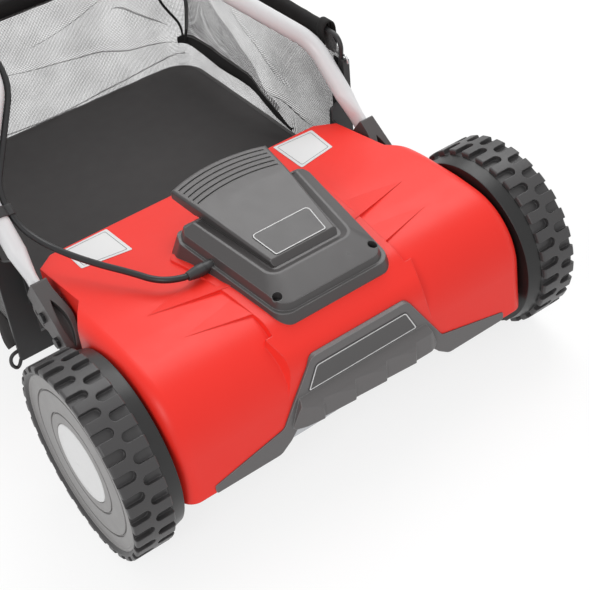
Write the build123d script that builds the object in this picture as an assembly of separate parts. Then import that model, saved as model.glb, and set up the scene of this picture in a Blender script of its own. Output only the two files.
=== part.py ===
"""Electric reel mower with a rear grass catcher.

Modelled in millimetres with the wheel axle at Y = 0, the front towards -Y and the ground at Z = 0.
At the end every piece is moved along Y so that the origin is the bottom centre of the whole machine.
"""
import os
from math import atan2, cos, degrees, radians, sin, tan

from build123d import *

os.makedirs("parts", exist_ok=True)

# Wheels
WHEEL_R = 110.0
TYRE_X0 = 245.5
TYRE_X1 = 290.5
TYRE_SEAT_R = 100.0
TREAD_SLOTS = 30
SLOT_WIDTH = 11.0
SLOT_LENGTH = 21.0
SLOT_DEPTH = 6.0
CAP_R = 44.5
AXLE_R = 8.0
RUN_FIT = 0.05

# Deck
CHEEK_X = 226.0
REAR_X = 204.0
WALL = 3.0
FLARE_Y0 = 80.0
FLARE_Y1 = 115.0
DECK_REAR_Y = 224.0
BED_RISE = 3.0

# Side plates and reel
PLATE_X0 = 194.0
PLATE_X1 = 198.0
REEL_Y = -20.0
REEL_Z = 84.0
REEL_R = 56.0
BLADE_R0 = 43.0
BLADE_HALF = 188.0
BLADE_COUNT = 5
BLADE_TWIST = 62.0
SHAFT_R = 8.0

# Motor and belt
MOTOR_Y = 32.0
MOTOR_Z = 184.0
MOTOR_R = 34.0
MOTOR_SHAFT_R = 5.0
PULLEY_X0 = 202.0
PULLEY_X1 = 214.0
REEL_SEAT_R = 23.0
MOTOR_SEAT_R = 10.75
BELT_GAP = 0.3
BELT_T = 3.0

# Rear roller and its height brackets
ROLLER_R = 22.0
ROLLER_Y = 150.0
ROLLER_HALF = 176.0
ROLLER_AXLE_R = 6.0
BRACKET_PIVOT = (70.0, 62.0)
BRACKET_STUD = (148.0, 48.0)
PIVOT_R = 5.0
STUD_R = 4.0
HEIGHT_SWING = 8.0

# Handle
TUBE_R = 11.0
TUBE_WALL = 1.3
TUBE_X = 222.0
TUBE_FOOT = (178.0, 188.0)
LOWER_SLOPE = 41.0
BEND_S1 = 118.0
BEND_S2 = 221.0
FOLD_S = 330.0
INNER_X = 150.0
UPPER_X = 174.0
UPPER_SLOPE = 46.0
UPPER_LENGTH = 720.0
FOLD_BOLT_R = 4.0
LEAD_R = 3.6
TUBE_BEND_1 = 70.0
TUBE_BEND_2 = 60.0
BRIDGE_S0 = 276.0
BRIDGE_S1 = 180.0

# Catcher
FLOOR_Z = 85.0
FLOOR_X = 232.0
CATCHER_Y0 = 229.0
CATCHER_Y1 = 612.0
RIM_Z = 277.0
RIM_X = 241.0
WIRE_R = 3.0
WIRE_FOOT_X = 232.4
HOOK_PIN = (196.0, 150.0)
HOOK_PIN_R = 5.0
PULL_SLOPE = 20.0

PIECES = {}


def outline(points):
    """Closed flat face through (u, v) corners; a third number rounds that corner."""
    face = make_face(Polyline(*[(p[0], p[1]) for p in points], close=True))
    for p in points:
        if len(p) == 3:
            corner = face.vertices().sort_by_distance((p[0], p[1], 0))[0]
            face = fillet(corner, p[2])
    return face


def prism_x(points, x0, x1):
    """Outline in (Y, Z) carried from x0 to x1."""
    return Pos(x0, 0, 0) * extrude(Plane.YZ * outline(points), amount=x1 - x0)


def prism_y(points, y0, y1):
    """Outline in (X, Z) carried from y0 to y1."""
    return Pos(0, y0, 0) * extrude(Plane.XZ * outline(points), amount=y0 - y1)


def prism_z(points, z0, z1):
    """Outline in (X, Y) carried from z0 to z1."""
    return Pos(0, 0, z0) * extrude(outline(points), amount=z1 - z0)


def block(x0, x1, y0, y1, z0, z1):
    return Pos((x0 + x1) / 2, (y0 + y1) / 2, (z0 + z1) / 2) * Box(x1 - x0, y1 - y0, z1 - z0)


def rod_x(r, x0, x1, y, z):
    """Round bar along X."""
    return Pos((x0 + x1) / 2, y, z) * Rot(0, 90, 0) * Cylinder(r, x1 - x0)


def sleeve_x(r_out, r_in, x0, x1, y, z):
    return rod_x(r_out, x0, x1, y, z) - rod_x(r_in, x0 - 1, x1 + 1, y, z)


def hex_x(across, x0, x1, y, z):
    """Hexagon nut or bolt head along X."""
    face = RegularPolygon(across / 3 ** 0.5, 6)
    return Pos(x0, y, z) * extrude(Plane.YZ * face, amount=x1 - x0)


def turned_x(points, y, z):
    """Body of revolution about an X axis from (x, radius) points."""
    return Pos(0, y, z) * revolve(outline(points), Axis.X)


def other_side(shape):
    return mirror(shape, about=Plane.YZ)


def pair(shape):
    return [shape, other_side(shape)]


def keep(name, *shapes):
    """Store one piece, or a group of separate solids that share one node."""
    solids = []
    for shape in shapes:
        solids.extend(shape.solids())
    PIECES[name] = solids[0] if len(solids) == 1 else Compound(children=solids)


def bent_tube(points, radii, r_out, r_in=0.0):
    """Round bar or tube along straight runs joined by tangent arcs."""
    path = FilletPolyline(*points, radius=radii)
    start = Plane(origin=path @ 0, z_dir=path % 0)
    body = sweep(start * Circle(r_out), path=path)
    if r_in:
        body -= sweep(start * Circle(r_in), path=path)
    section = 3.14159265 * (r_out ** 2 - r_in ** 2)
    print("bent bar", "radii", radii, "length", round(path.length, 1),
          "volume ratio", round(body.volume / (section * path.length), 4))
    return body


# Deck housing: thin moulded shell, open below and behind, with cheeks in front of the wheels
def deck_block(inset):
    """Solid under the deck's skin; the inset gives the skin's inner face."""
    side = [(-103.9, 20), (-87.5, 205, 78), (8, 210.5, 150), (70, 209, 260),
            (224, 184), (262, 178), (262, 20)]
    face = outline(side)
    if inset:
        face = offset(face, amount=-inset)
    wide = extrude(Plane.YZ * face, amount=CHEEK_X - inset, both=True)
    narrow = extrude(Plane.YZ * face, amount=REAR_X - inset, both=True)
    rounded = []
    for body, radius in ((wide, 16), (narrow, 12)):
        ends = body.faces().filter_by(Axis.X)
        upper = [e for f in ends for e in f.edges() if e.center().Z > 30 and e.center().Y < 250]
        rounded.append(fillet(upper, radius - inset))
    slope = (CHEEK_X - REAR_X) / (FLARE_Y0 - FLARE_Y1)
    flare_y = FLARE_Y1 - 0.3 * inset
    flare = [(REAR_X - inset, flare_y), (REAR_X - inset + 40, flare_y + 40 / slope),
             (REAR_X + 60, 300), (REAR_X - inset, 300)]
    cut = prism_z(flare, 0, 260)
    return rounded[0] - cut - other_side(cut) + rounded[1]


deck_outer = deck_block(0.0)
deck_inner = deck_block(WALL)
deck = deck_outer & prism_x([(-150, 86), (-76, 80, 8), (-44, 70, 10), (105, 70, 10),
                             (125, 95, 10), (DECK_REAR_Y, 125), (DECK_REAR_Y, 260), (-150, 260)], -250, 250)
rear_corner = prism_z([(180, 226), (210, 226), (210, 201)], 0, 260)
deck = deck - rear_corner - other_side(rear_corner)

# Raised bed under the motor cover, running on over the front corner and down both sides of the bumper
def bed_block(inset):
    """Middle of the deck, prouder than the cheeks; its sides slope down to them."""
    side = [(-99.6, 20), (-91, 184, 30), (-50, 206.5 + BED_RISE, 40), (8, 210.5 + BED_RISE, 150),
            (70, 209 + BED_RISE, 260), (224, 184 + BED_RISE), (224, 20)]
    face = outline(side)
    if inset:
        face = offset(face, amount=-inset)
    body = extrude(Plane.YZ * face, amount=150, both=True)
    bed_plan = [(-86, -80), (86, -80), (105, 112, 14), (-105, 112, 14)]
    top = Pos(0, 0, 190) * extrude(outline(bed_plan), amount=40, taper=14)
    front_plan = [(-90, 216), (90, 216), (124, 70), (-124, 70)]
    front = extrude(Plane(origin=(0, -62, 0), x_dir=(1, 0, 0), z_dir=(0, -1, 0)) * outline(front_plan),
                    amount=60, taper=24)
    return body & (top + front)


bed = bed_block(0.0)
deck = deck + bed

# Two fading wedge steps on each side of the raised bed
STEP_HEIGHT = 4.2
STEP_RUN = 46.0
for y_in, y_out, z_in, z_out, z_tail in ((-33, -10, 206.6, 209.2, 210.1), (15, 38, 210.3, 210.0, 209.0)):
    riser = [(-78, y_in, z_in - 6), (-166, y_out, z_out - 6),
             (-166, y_out, z_out), (-78, y_in, z_in + STEP_HEIGHT)]
    tail = Vector(-78, y_in + STEP_RUN, z_tail)
    corners = [Vector(*p) for p in riser]
    faces = [Face(Wire.make_polygon(corners))]
    for a, b in zip(corners, corners[1:] + corners[:1]):
        faces.append(Face(Wire.make_polygon([a, b, tail])))
    wedge = Solid(Shell(faces))
    deck = deck + wedge + other_side(wedge)
deck = deck - deck_inner - (bed_block(WALL) & block(-70, 70, -200, 200, 0, 260))

# Opening in front for the bumper and the grass
upper_half = [(62, 181, 9), (105, 110.5, 8), (193, 91, 3)]
bumper_half = upper_half + [(193, 81, 3), (113, 80.5, 12), (99, 91, 6), (88, 103.5, 6)]
gap_half = upper_half + [(190, 60)]
bumper_outline = bumper_half + [(-p[0],) + p[1:] for p in reversed(bumper_half)]
front_gap = gap_half + [(-p[0],) + p[1:] for p in reversed(gap_half)]
deck = deck - prism_y(front_gap, -140, -70)

# Well for the motor and holes for the cover screws
SCREW_AT = (60.7, -40.6)
deck = deck - block(-58, 58, -2, 66, 150, 240)
for sx in (-1, 1):
    deck = deck - Pos(sx * SCREW_AT[0], SCREW_AT[1], 200) * Cylinder(2.2, 60)

# Front bumper: plate in the gap, proud ribbed band below, thin wings along the lower edge
plate = prism_x([(-100.2, 60), (-93.4, 186), (-85, 186), (-92.5, 60)], -200, 200)
bumper = plate & prism_y(bumper_outline, -140, -70)
BAND_TOP = 135.0
BAND_FOOT = 103.5
BAND_HALF = 97.0
PANEL_EDGES = (-61.0, -20.5, 20.5, 61.0)
PANEL_PROUD = -106.4
PANEL_BACK = -103.8
band_plan = [(-BAND_HALF, BAND_FOOT, 4), (BAND_HALF, BAND_FOOT, 4),
             (81, BAND_TOP + 9, 6), (-81, BAND_TOP + 9, 6)]
lean_side = [(-90, BAND_TOP + 6), (-100, BAND_TOP + 3, 12), (-105, BAND_TOP - 8, 12),
             (-109, BAND_FOOT), (-92, BAND_FOOT)]
lean = prism_x(lean_side, -100, 100)
saw = [(-BAND_HALF, -92), (-BAND_HALF, -98.6), (PANEL_EDGES[0] - 20, PANEL_BACK, 12)]
for edge in PANEL_EDGES:
    saw += [(edge, PANEL_PROUD, 1.2), (edge + 2.5, PANEL_BACK, 1.2)]
saw += [(BAND_HALF - 12, PANEL_BACK, 12), (BAND_HALF, -98.6), (BAND_HALF, -92)]
bumper = bumper + (prism_z(saw, 90, 150) & lean & prism_y(band_plan, -140, -70))
keep("front_bumper", bumper - deck)

# Motor cover: drafted skirt with a wider flange band, sloping shoulder, ridge round the hood, screw bosses
COVER_WALL = 2.5
TOP_TILT = 0.0725
SHOULDER_DROP = 8.0
RIDGE_HEIGHT = 2.5


def cover_top(y):
    """Height of the cover's sloping top."""
    return 229.5 + TOP_TILT * (y + 41)


def top_plane(lift):
    """Plane parallel to the cover's sloping top."""
    return Plane(origin=(0, 0, cover_top(0) + lift), x_dir=(1, 0, 0), z_dir=(0, -TOP_TILT, 1))


def hood_outline(grow):
    """Plan of the hood's front part, widened all round."""
    return outline([(-41 - grow, -10 - grow, 4 + grow), (41 + grow, -10 - grow, 4 + grow), (56.5 + grow, 97),
                    (-56.5 - grow, 97)])


def cover_loft(grow, drop):
    """Drafted skirt; grow widens its plan and drop lowers its sloping top."""
    low = [(-71 - grow, -61 - grow, 19), (71 + grow, -61 - grow, 19), (93.5 + grow, 102, 12),
           (86 + grow, 118 + grow, 8), (-86 - grow, 118 + grow, 8), (-93.5 - grow, 102, 12)]
    high = [(-59.5 - grow, -48.5 - grow, 16), (59.5 + grow, -48.5 - grow, 16), (79 + grow, 92, 10),
            (73 + grow, 104 + grow, 6), (-73 - grow, 104 + grow, 6), (-79 - grow, 92, 10)]
    body = loft([Pos(0, 0, 195) * outline(low), Pos(0, 0, 245) * outline(high)])
    below = prism_x([(-120, 190), (-120, cover_top(-120) - drop),
                     (160, cover_top(160) - drop), (160, 190)], -120, 120)
    return body & below


shoulder_plan = [(-72, -60, 20), (72, -60, 20), (92, 112, 10), (-92, 112, 10)]
shoulder = loft([top_plane(-SHOULDER_DROP) * outline(shoulder_plan),
                 top_plane(RIDGE_HEIGHT) * hood_outline(12)])
basin = loft([top_plane(0) * hood_outline(3), top_plane(RIDGE_HEIGHT) * hood_outline(9.5)])
skirt = cover_loft(0, SHOULDER_DROP) + (shoulder & cover_loft(0, -6)) - basin
flange = cover_loft(3.2, 14)
hollow_top = loft([top_plane(-SHOULDER_DROP - COVER_WALL) * outline(shoulder_plan),
                   top_plane(-COVER_WALL) * hood_outline(12)])
cover = skirt + flange - cover_loft(-COVER_WALL, SHOULDER_DROP + COVER_WALL)
cover = cover - (hollow_top & cover_loft(-COVER_WALL, COVER_WALL))
SCREW_SEAT_Z = 216.0
for sx in (-1, 1):
    seat = Pos(sx * SCREW_AT[0], SCREW_AT[1], 0)
    boss = seat * Pos(0, 0, 210) * Cylinder(7.5, 36)
    cover = cover + (boss & (skirt + cover_loft(0, SHOULDER_DROP)))
    cover = cover - seat * Pos(0, 0, SCREW_SEAT_Z + 12) * Cylinder(5.2, 24)
    cover = cover - seat * Pos(0, 0, 210) * Cylinder(2.2, 60)
cover = cover - deck_outer - bed - deck
GLAND_AT = (51.0, 220.0)
HOOD_HOLE = (33.0, 4.0, 92.0)
cover = cover - block(-HOOD_HOLE[0], HOOD_HOLE[0], HOOD_HOLE[1], HOOD_HOLE[2], 215, 250)
cover = cover - rod_x(6.0, -110, -70, *GLAND_AT)
keep("motor_cover", cover)
keep("deck_housing", deck)

# Cover screws: round heads with a hexagon socket
screws = []
for sx in (-1, 1):
    at = Pos(sx * SCREW_AT[0], SCREW_AT[1], 0)
    screw = at * Pos(0, 0, SCREW_SEAT_Z + 1.5) * Cylinder(4.8, 3)
    screw = screw + at * Pos(0, 0, SCREW_SEAT_Z - 9.5) * Cylinder(2.2, 20)
    screw = screw - at * Pos(0, 0, SCREW_SEAT_Z + 1.5) * extrude(RegularPolygon(2.4, 6), amount=4)
    screws.append(screw)
keep("cover_screws", *screws)

# Air hood: hollow scoop over the rear of the cover with a bowed rear edge and five louvres
HOOD_SAG = 12.0


def hood_block(inset, floor_drop):
    """Scoop body; the inset and the lowered floor give its hollow."""
    y0 = -10.0
    side = [(y0 + inset, cover_top(y0) - floor_drop), (-4 + inset, 238.5 - inset), (97, 251.5 - inset, 70),
            (176 - inset, 255.5 - inset), (176 - inset, 247 + inset), (108 - inset, cover_top(108) - 1 + inset),
            (108 - inset, cover_top(108) - floor_drop)]
    front = 41.0 - inset
    rear = 62.5 - inset
    rear_y = 146.0 - inset
    edges = [Line((-front, y0 + inset), (front, y0 + inset)), Line((front, y0 + inset), (56.5 - inset, 97)),
             Line((56.5 - inset, 97), (rear, rear_y)),
             ThreePointArc((rear, rear_y), (0, rear_y + HOOD_SAG), (-rear, rear_y)),
             Line((-rear, rear_y), (-56.5 + inset, 97)), Line((-56.5 + inset, 97), (-front, y0 + inset))]
    face = make_face(edges)
    if not inset:
        face = fillet(face.vertices().sort_by(Axis.Y)[:2], 5)
    return prism_x(side, -80, 80) & (Pos(0, 0, 200) * extrude(face, amount=80))


def bowed_slot(y_mid, half, width):
    """Arc-shaped slot parallel to the hood's rear edge."""
    sag = HOOD_SAG * (half / 62.5) ** 2
    edges = [ThreePointArc((-half, y_mid - sag), (0, y_mid), (half, y_mid - sag)),
             Line((half, y_mid - sag), (half, y_mid - sag + width)),
             ThreePointArc((half, y_mid - sag + width), (0, y_mid + width), (-half, y_mid - sag + width)),
             Line((-half, y_mid - sag + width), (-half, y_mid - sag))]
    return Pos(0, 0, 249) * extrude(make_face(edges), amount=12)


hood = hood_block(0.0, 0.0)
roof = hood.faces().filter_by(lambda f: f.normal_at().Z > 0.9)
rim = [e for e in roof.edges() if len([f for f in roof if e in f.edges()]) == 1]
hood = fillet(rim, 3)
hollow = hood_block(3.0, 8.0)
hood = hood - (hollow & block(-80, 80, HOOD_HOLE[1], 170, 200, 260))
LOUVRES = 5
LOUVRE_DEPTH = 2.0
for i in range(LOUVRES):
    hood = hood - (bowed_slot(116.5 + 8.0 * i, 52.5 + 0.8 * i, 2.0) - hood_block(LOUVRE_DEPTH, 8.0))
keep("motor_hood", hood)
PIECES["motor_cover"] = PIECES["motor_cover"] - hood

# Lead gland: a round strain relief in the cover's left wall
gland = turned_x([(-108, LEAD_R), (-108, 5.0), (-96, 6.8, 1), (-88, 6.8), (-88, 6.0), (-76, 6.0), (-76, LEAD_R)],
                 *GLAND_AT)
gland = gland - cover
keep("lead_gland", gland)

# Motor tray: closes the motor bay from below and carries the motor in two saddles
tray = block(-66, 66, -10, 76, 143, 215) - block(-63.5, 63.5, -7.5, 73.5, 146, 230)
for x0 in (-44, 34):
    saddle = block(x0, x0 + 7, -8, 74, 145, 182) - rod_x(MOTOR_R, -80, 80, MOTOR_Y, MOTOR_Z)
    tray = tray + saddle
tray = (tray & deck_inner) - rod_x(MOTOR_SHAFT_R + 1.0, 50, 80, MOTOR_Y, MOTOR_Z)
keep("motor_tray", tray)

# Motor: closed can with end bells, armature and fan on one long shaft to the belt side
can = turned_x([(-58, MOTOR_SHAFT_R + RUN_FIT), (-58, 14), (-52, 16), (-50, 31, 2), (-44, MOTOR_R), (46, MOTOR_R),
                (52, 31, 2), (54, 14), (60, 12), (60, MOTOR_SHAFT_R + RUN_FIT), (50, MOTOR_SHAFT_R + RUN_FIT),
                (50, 29), (-46, 29), (-46, MOTOR_SHAFT_R + RUN_FIT)], MOTOR_Y, MOTOR_Z)
vents = []
for i in range(8):
    vent = Pos(0, MOTOR_Y, MOTOR_Z) * Rot(45 * i + 22.5, 0, 0) * Pos(-36, 0, MOTOR_R) * Box(10, 9, 14)
    vents.append(vent)
keep("motor_housing", can - vents)
armature = rod_x(23, -20, 32, MOTOR_Y, MOTOR_Z) + rod_x(12, 32, 44, MOTOR_Y, MOTOR_Z)
bars = []
for i in range(12):
    bars.append(Pos(0, MOTOR_Y, MOTOR_Z) * Rot(30 * i, 0, 0) * Pos(6, 0, 23) * Box(60, 3, 8))
armature = armature - bars + rod_x(MOTOR_SHAFT_R, -60, PULLEY_X1 + 1, MOTOR_Y, MOTOR_Z)
keep("motor_armature", armature)
fan = sleeve_x(10, MOTOR_SHAFT_R, -42, -30, MOTOR_Y, MOTOR_Z) + sleeve_x(26, 9, -32, -30, MOTOR_Y, MOTOR_Z)
for i in range(8):
    fan = fan + Pos(0, MOTOR_Y, MOTOR_Z) * Rot(45 * i, 0, 0) * Pos(-36.5, 0, 17.5) * Box(11, 1.6, 17)
keep("motor_fan", fan)


def pulley(seat_r, bore_r, y, z):
    """Flat belt pulley with two low flanges."""
    flange_r = seat_r + BELT_T + 0.6
    return turned_x([(PULLEY_X0, bore_r), (PULLEY_X0, flange_r), (PULLEY_X0 + 1.5, flange_r),
                     (PULLEY_X0 + 1.5, seat_r), (PULLEY_X1 - 1.5, seat_r), (PULLEY_X1 - 1.5, flange_r),
                     (PULLEY_X1, flange_r), (PULLEY_X1, bore_r)], y, z)


keep("motor_pulley", pulley(MOTOR_SEAT_R, MOTOR_SHAFT_R, MOTOR_Y, MOTOR_Z))
reel_pulley = pulley(REEL_SEAT_R, SHAFT_R, REEL_Y, REEL_Z)
for i in range(5):
    hole = Pos(0, REEL_Y, REEL_Z) * Rot(72 * i, 0, 0) * Pos(208, 0, 15.5) * Rot(0, 90, 0) * Cylinder(4, 20)
    reel_pulley = reel_pulley - hole
keep("reel_pulley", reel_pulley)


# Drive belt: open loop round both pulleys
def belt_face(grow):
    """Outline of two circles joined by their outer tangents."""
    span_y = MOTOR_Y - REEL_Y
    span_z = MOTOR_Z - REEL_Z
    span = (span_y ** 2 + span_z ** 2) ** 0.5
    big = REEL_SEAT_R + grow
    small = MOTOR_SEAT_R + grow
    heading = degrees(atan2(span_z, span_y))
    lean = degrees(atan2(big - small, (span ** 2 - (big - small) ** 2) ** 0.5))

    def on(centre, r, angle):
        return (centre[0] + r * cos(radians(angle)), centre[1] + r * sin(radians(angle)))

    a = heading + 90 - lean
    b = heading - 90 + lean
    reel_c = (REEL_Y, REEL_Z)
    motor_c = (MOTOR_Y, MOTOR_Z)
    edges = [Line(on(reel_c, big, a), on(motor_c, small, a)),
             ThreePointArc(on(motor_c, small, a), on(motor_c, small, heading), on(motor_c, small, b)),
             Line(on(motor_c, small, b), on(reel_c, big, b)),
             ThreePointArc(on(reel_c, big, b), on(reel_c, big, heading + 180), on(reel_c, big, a))]
    return make_face(edges)


belt = extrude(Plane.YZ * (belt_face(BELT_GAP + BELT_T) - belt_face(BELT_GAP)), amount=8.0)
keep("drive_belt", Pos(PULLEY_X0 + 2.0, 0, 0) * belt)

# Side plates: steel, carrying the reel, the bed knife, the roller brackets and the belt side's shaft
plate_points = [(-70, 52, 10), (-62, 140, 30), (2, 198, 16), (62, 198, 16), (92, 150, 20), (172, 88, 14),
                (172, 33, 8), (134, 33, 12), (100, 46, 20), (40, 17, 8), (-30, 17, 10)]
side_plate = prism_x(plate_points, PLATE_X0, PLATE_X1)
side_plate = side_plate - rod_x(13.0, 180, 210, REEL_Y, REEL_Z) - rod_x(PIVOT_R, 180, 210, *BRACKET_PIVOT)
SPACERS = ((-56, 112), (64, 104), (62, 150))
for y, z in SPACERS:
    side_plate = side_plate - rod_x(3.0, 180, 210, y, z)
stud_dy = BRACKET_STUD[0] - BRACKET_PIVOT[0]
stud_dz = BRACKET_STUD[1] - BRACKET_PIVOT[1]
stud_arm = (stud_dy ** 2 + stud_dz ** 2) ** 0.5
stud_angle = degrees(atan2(stud_dz, stud_dy))


def swing_point(r, angle):
    """Point at a radius from the bracket pivot."""
    return (BRACKET_PIVOT[0] + r * cos(radians(angle)), BRACKET_PIVOT[1] + r * sin(radians(angle)))


slot_half = STUD_R + 0.35
a0 = stud_angle - HEIGHT_SWING - 1.0
a1 = stud_angle + HEIGHT_SWING + 1.0
slot_edges = [ThreePointArc(swing_point(stud_arm - slot_half, a0), swing_point(stud_arm - slot_half, stud_angle),
                            swing_point(stud_arm - slot_half, a1)),
              ThreePointArc(swing_point(stud_arm - slot_half, a1), swing_point(stud_arm, a1 + 3.1),
                            swing_point(stud_arm + slot_half, a1)),
              ThreePointArc(swing_point(stud_arm + slot_half, a1), swing_point(stud_arm + slot_half, stud_angle),
                            swing_point(stud_arm + slot_half, a0)),
              ThreePointArc(swing_point(stud_arm + slot_half, a0), swing_point(stud_arm, a0 - 3.1),
                            swing_point(stud_arm - slot_half, a0))]
side_plate = side_plate - Pos(180, 0, 0) * extrude(Plane.YZ * make_face(slot_edges), amount=30)
keep("left_side_plate", other_side(side_plate))
keep("right_side_plate", side_plate - rod_x(10.0, 180, 210, MOTOR_Y, MOTOR_Z))
shaft_bearing = sleeve_x(10.0, MOTOR_SHAFT_R + RUN_FIT, 191, 200, MOTOR_Y, MOTOR_Z)
shaft_bearing = shaft_bearing + sleeve_x(12.5, 9.5, 191, PLATE_X0, MOTOR_Y, MOTOR_Z)
bearing = sleeve_x(13.0, SHAFT_R + RUN_FIT, 191, 199.5, REEL_Y, REEL_Z)
bearing = bearing + sleeve_x(17.0, 12, 191, PLATE_X0, REEL_Y, REEL_Z)
keep("shaft_bearings", shaft_bearing, *pair(bearing))
spacers = []
bolts = []
for y, z in SPACERS:
    spacers += pair(sleeve_x(7.0, 3.0, PLATE_X1, CHEEK_X - WALL, y, z))
    bolt_hole = rod_x(3.0, 215, 240, y, z)
    PIECES["deck_housing"] = PIECES["deck_housing"] - bolt_hole - other_side(bolt_hole)
    bolts += pair(rod_x(3.0, 191, CHEEK_X, y, z) + rod_x(5.0, 191, PLATE_X0, y, z))
keep("plate_spacers", *spacers)

# Reel: shaft, four pierced spider discs and five helical blades
keep("reel_shaft", rod_x(SHAFT_R, -203, PULLEY_X1 + 1, REEL_Y, REEL_Z))
blade_section = outline([(BLADE_R0, -2), (REEL_R - 0.4, 1.4), (REEL_R - 0.6, 4.4), (BLADE_R0, 1)])
blades = []
for i in range(BLADE_COUNT):
    start = Rot(0, 0, 360 / BLADE_COUNT * i) * blade_section
    twisted = Solid.extrude_linear_with_rotation(start.faces()[0], Vector(0, 0, 0), Vector(0, 0, 2 * BLADE_HALF),
                                                 BLADE_TWIST)
    blades.append(Pos(-BLADE_HALF, REEL_Y, REEL_Z) * Rot(0, 90, 0) * twisted)
keep("reel_blades", *blades)
spiders = []
for x in (-176, -60, 60, 176):
    spider = sleeve_x(47.0, SHAFT_R, x - 1.5, x + 1.5, REEL_Y, REEL_Z)
    turn = -BLADE_TWIST * (x + BLADE_HALF) / (2 * BLADE_HALF)
    for i in range(BLADE_COUNT):
        spot = Pos(x, REEL_Y, REEL_Z) * Rot(72 * i + 36 + turn, 0, 0) * Pos(0, 0, 32) * Rot(0, 90, 0)
        spider = spider - spot * Cylinder(8, 10)
    spider = spider + sleeve_x(13, SHAFT_R, x - 6, x + 6, REEL_Y, REEL_Z)
    spiders.append(spider)
keep("reel_spiders", *spiders)

# Bed knife on its angle bar, with countersunk screws
KNIFE_TOP = 29.2
BAR_TOP = 26.0
knife = prism_x([(-5.5, KNIFE_TOP), (-5.5, 27.8), (-3, BAR_TOP), (21, BAR_TOP), (21, KNIFE_TOP)], -192, 192)
bar = prism_x([(1, BAR_TOP), (1, 20), (31, 20, 2), (31, 46), (25, 46), (25, BAR_TOP)], -PLATE_X0, PLATE_X0)
knife_screws = []
for i in range(5):
    at = Pos(-160 + 80 * i, 13, 0)
    screw = at * Pos(0, 0, KNIFE_TOP - 1.5) * Cone(3.2, 6.0, 3.0) + at * Pos(0, 0, 23.85) * Cylinder(3.2, 7.7)
    knife = knife - screw
    bar = bar - screw
    knife_screws.append(screw)
keep("bed_knife", knife)
keep("knife_bar", bar)
keep("knife_screws", *knife_screws)

# Chute plate that guides the cut grass from the knife bar up into the catcher
CHUTE_HALF = 179.5
chute_side = [(31, 44), (78, 60, 60), (140, 82, 80), (222, 86),
              (222, 84), (140, 79.6, 80), (78, 57.6, 60), (31, 41.5)]
chute = prism_x(chute_side, -CHUTE_HALF, CHUTE_HALF)
keep("chute_plate", chute)

# Stub axles: flange screwed to the cheek, journal for the wheel, washer and nut under the hub cap
axle = turned_x([(CHEEK_X, 0), (CHEEK_X, 27, 1), (CHEEK_X + 4, 27, 1), (CHEEK_X + 4, 12), (235.6, 12),
                 (235.6, AXLE_R), (272.3, AXLE_R), (272.3, 6), (281.5, 6, 1), (281.5, 0)], 0, WHEEL_R)
flange_screws = []
for i in range(3):
    sy = 19 * cos(radians(90 + 120 * i))
    sz = WHEEL_R + 19 * sin(radians(90 + 120 * i))
    axle = axle - rod_x(3.0, 220, 240, sy, sz)
    deck_hole = rod_x(3.0, 220, 240, sy, sz)
    PIECES["deck_housing"] = PIECES["deck_housing"] - deck_hole - other_side(deck_hole)
    screw = rod_x(3.0, 219, CHEEK_X + 4, sy, sz) + hex_x(9, CHEEK_X + 4, CHEEK_X + 7, sy, sz)
    screw = screw + hex_x(9, 219.5, CHEEK_X - WALL, sy, sz)
    flange_screws += pair(screw)
keep("stub_axles", *pair(axle))
washer = sleeve_x(13, 6, 272.3, 274.3, 0, WHEEL_R)
nut = hex_x(17, 274.3, 280.3, 0, WHEEL_R) - rod_x(6, 270, 290, 0, WHEEL_R)
keep("axle_fasteners", *flange_screws, *pair(washer), *pair(nut))

# Wheels: disc with ring grooves, closed drum towards the deck, slotted tyre, hub cap flush in the disc
HUB_BORE = AXLE_R + RUN_FIT
FACE_X = 286.3
GROOVE_DEPTH = 2.0
DRUM_X = 229.5
disc_side = [(236, HUB_BORE), (236, 18, 1), (268, 20), (271, 34), (281, 52), (282, 93, 3), (DRUM_X + 2.5, 95),
             (DRUM_X + 2.5, 60), (DRUM_X, 60), (DRUM_X, 100), (TYRE_X0, 104), (TYRE_X0, TYRE_SEAT_R),
             (287.5, TYRE_SEAT_R), (287.5, 97.5), (FACE_X, 96)]
for groove_r in (83.0, 57.0):
    disc_side += [(FACE_X, groove_r + 1.2), (FACE_X - GROOVE_DEPTH, groove_r + 0.8),
                  (FACE_X - GROOVE_DEPTH, groove_r - 0.8), (FACE_X, groove_r - 1.2)]
disc_side += [(FACE_X, CAP_R + 0.4), (276, CAP_R + 0.4), (276, 14.5), (272, 14.5), (272, HUB_BORE)]
disc = turned_x(disc_side, 0, WHEEL_R)
ribs = []
for i in range(6):
    rib = Pos(0, 0, WHEEL_R) * Rot(60 * i, 0, 0) * Pos(257.5, 0, 56) * Box(26, 4, 76)
    ribs.append(rib)
disc = disc + ribs
tyre = turned_x([(TYRE_X0, TYRE_SEAT_R), (TYRE_X0, WHEEL_R, 2.5), (TYRE_X1, WHEEL_R, 2.5), (TYRE_X1, 103, 2),
                 (287.5, TYRE_SEAT_R)], 0, WHEEL_R)
slots = []
slot_r = SLOT_WIDTH / 2
for row_x, inward, phase in ((TYRE_X1, -1, 0.0), (TYRE_X0, 1, 0.5)):
    run = SLOT_LENGTH - slot_r
    x_end = row_x + inward * run
    flat = Pos(row_x + inward * (run - 4) / 2, 0, 0) * Rectangle(run + 4, SLOT_WIDTH)
    flat = flat + Pos(x_end, 0, 0) * Circle(slot_r)
    tool = Pos(0, 0, WHEEL_R - SLOT_DEPTH) * extrude(flat, amount=SLOT_DEPTH + 5)
    for i in range(TREAD_SLOTS):
        slots.append(Pos(0, 0, WHEEL_R) * Rot(360 / TREAD_SLOTS * (i + phase), 0, 0) * tool)
tyre = tyre - slots
cap = turned_x([(276, 30), (276, CAP_R), (286.8, CAP_R, 2), (289, 30, 60), (290, 0), (287, 0), (286, 30)],
               0, WHEEL_R)
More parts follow.
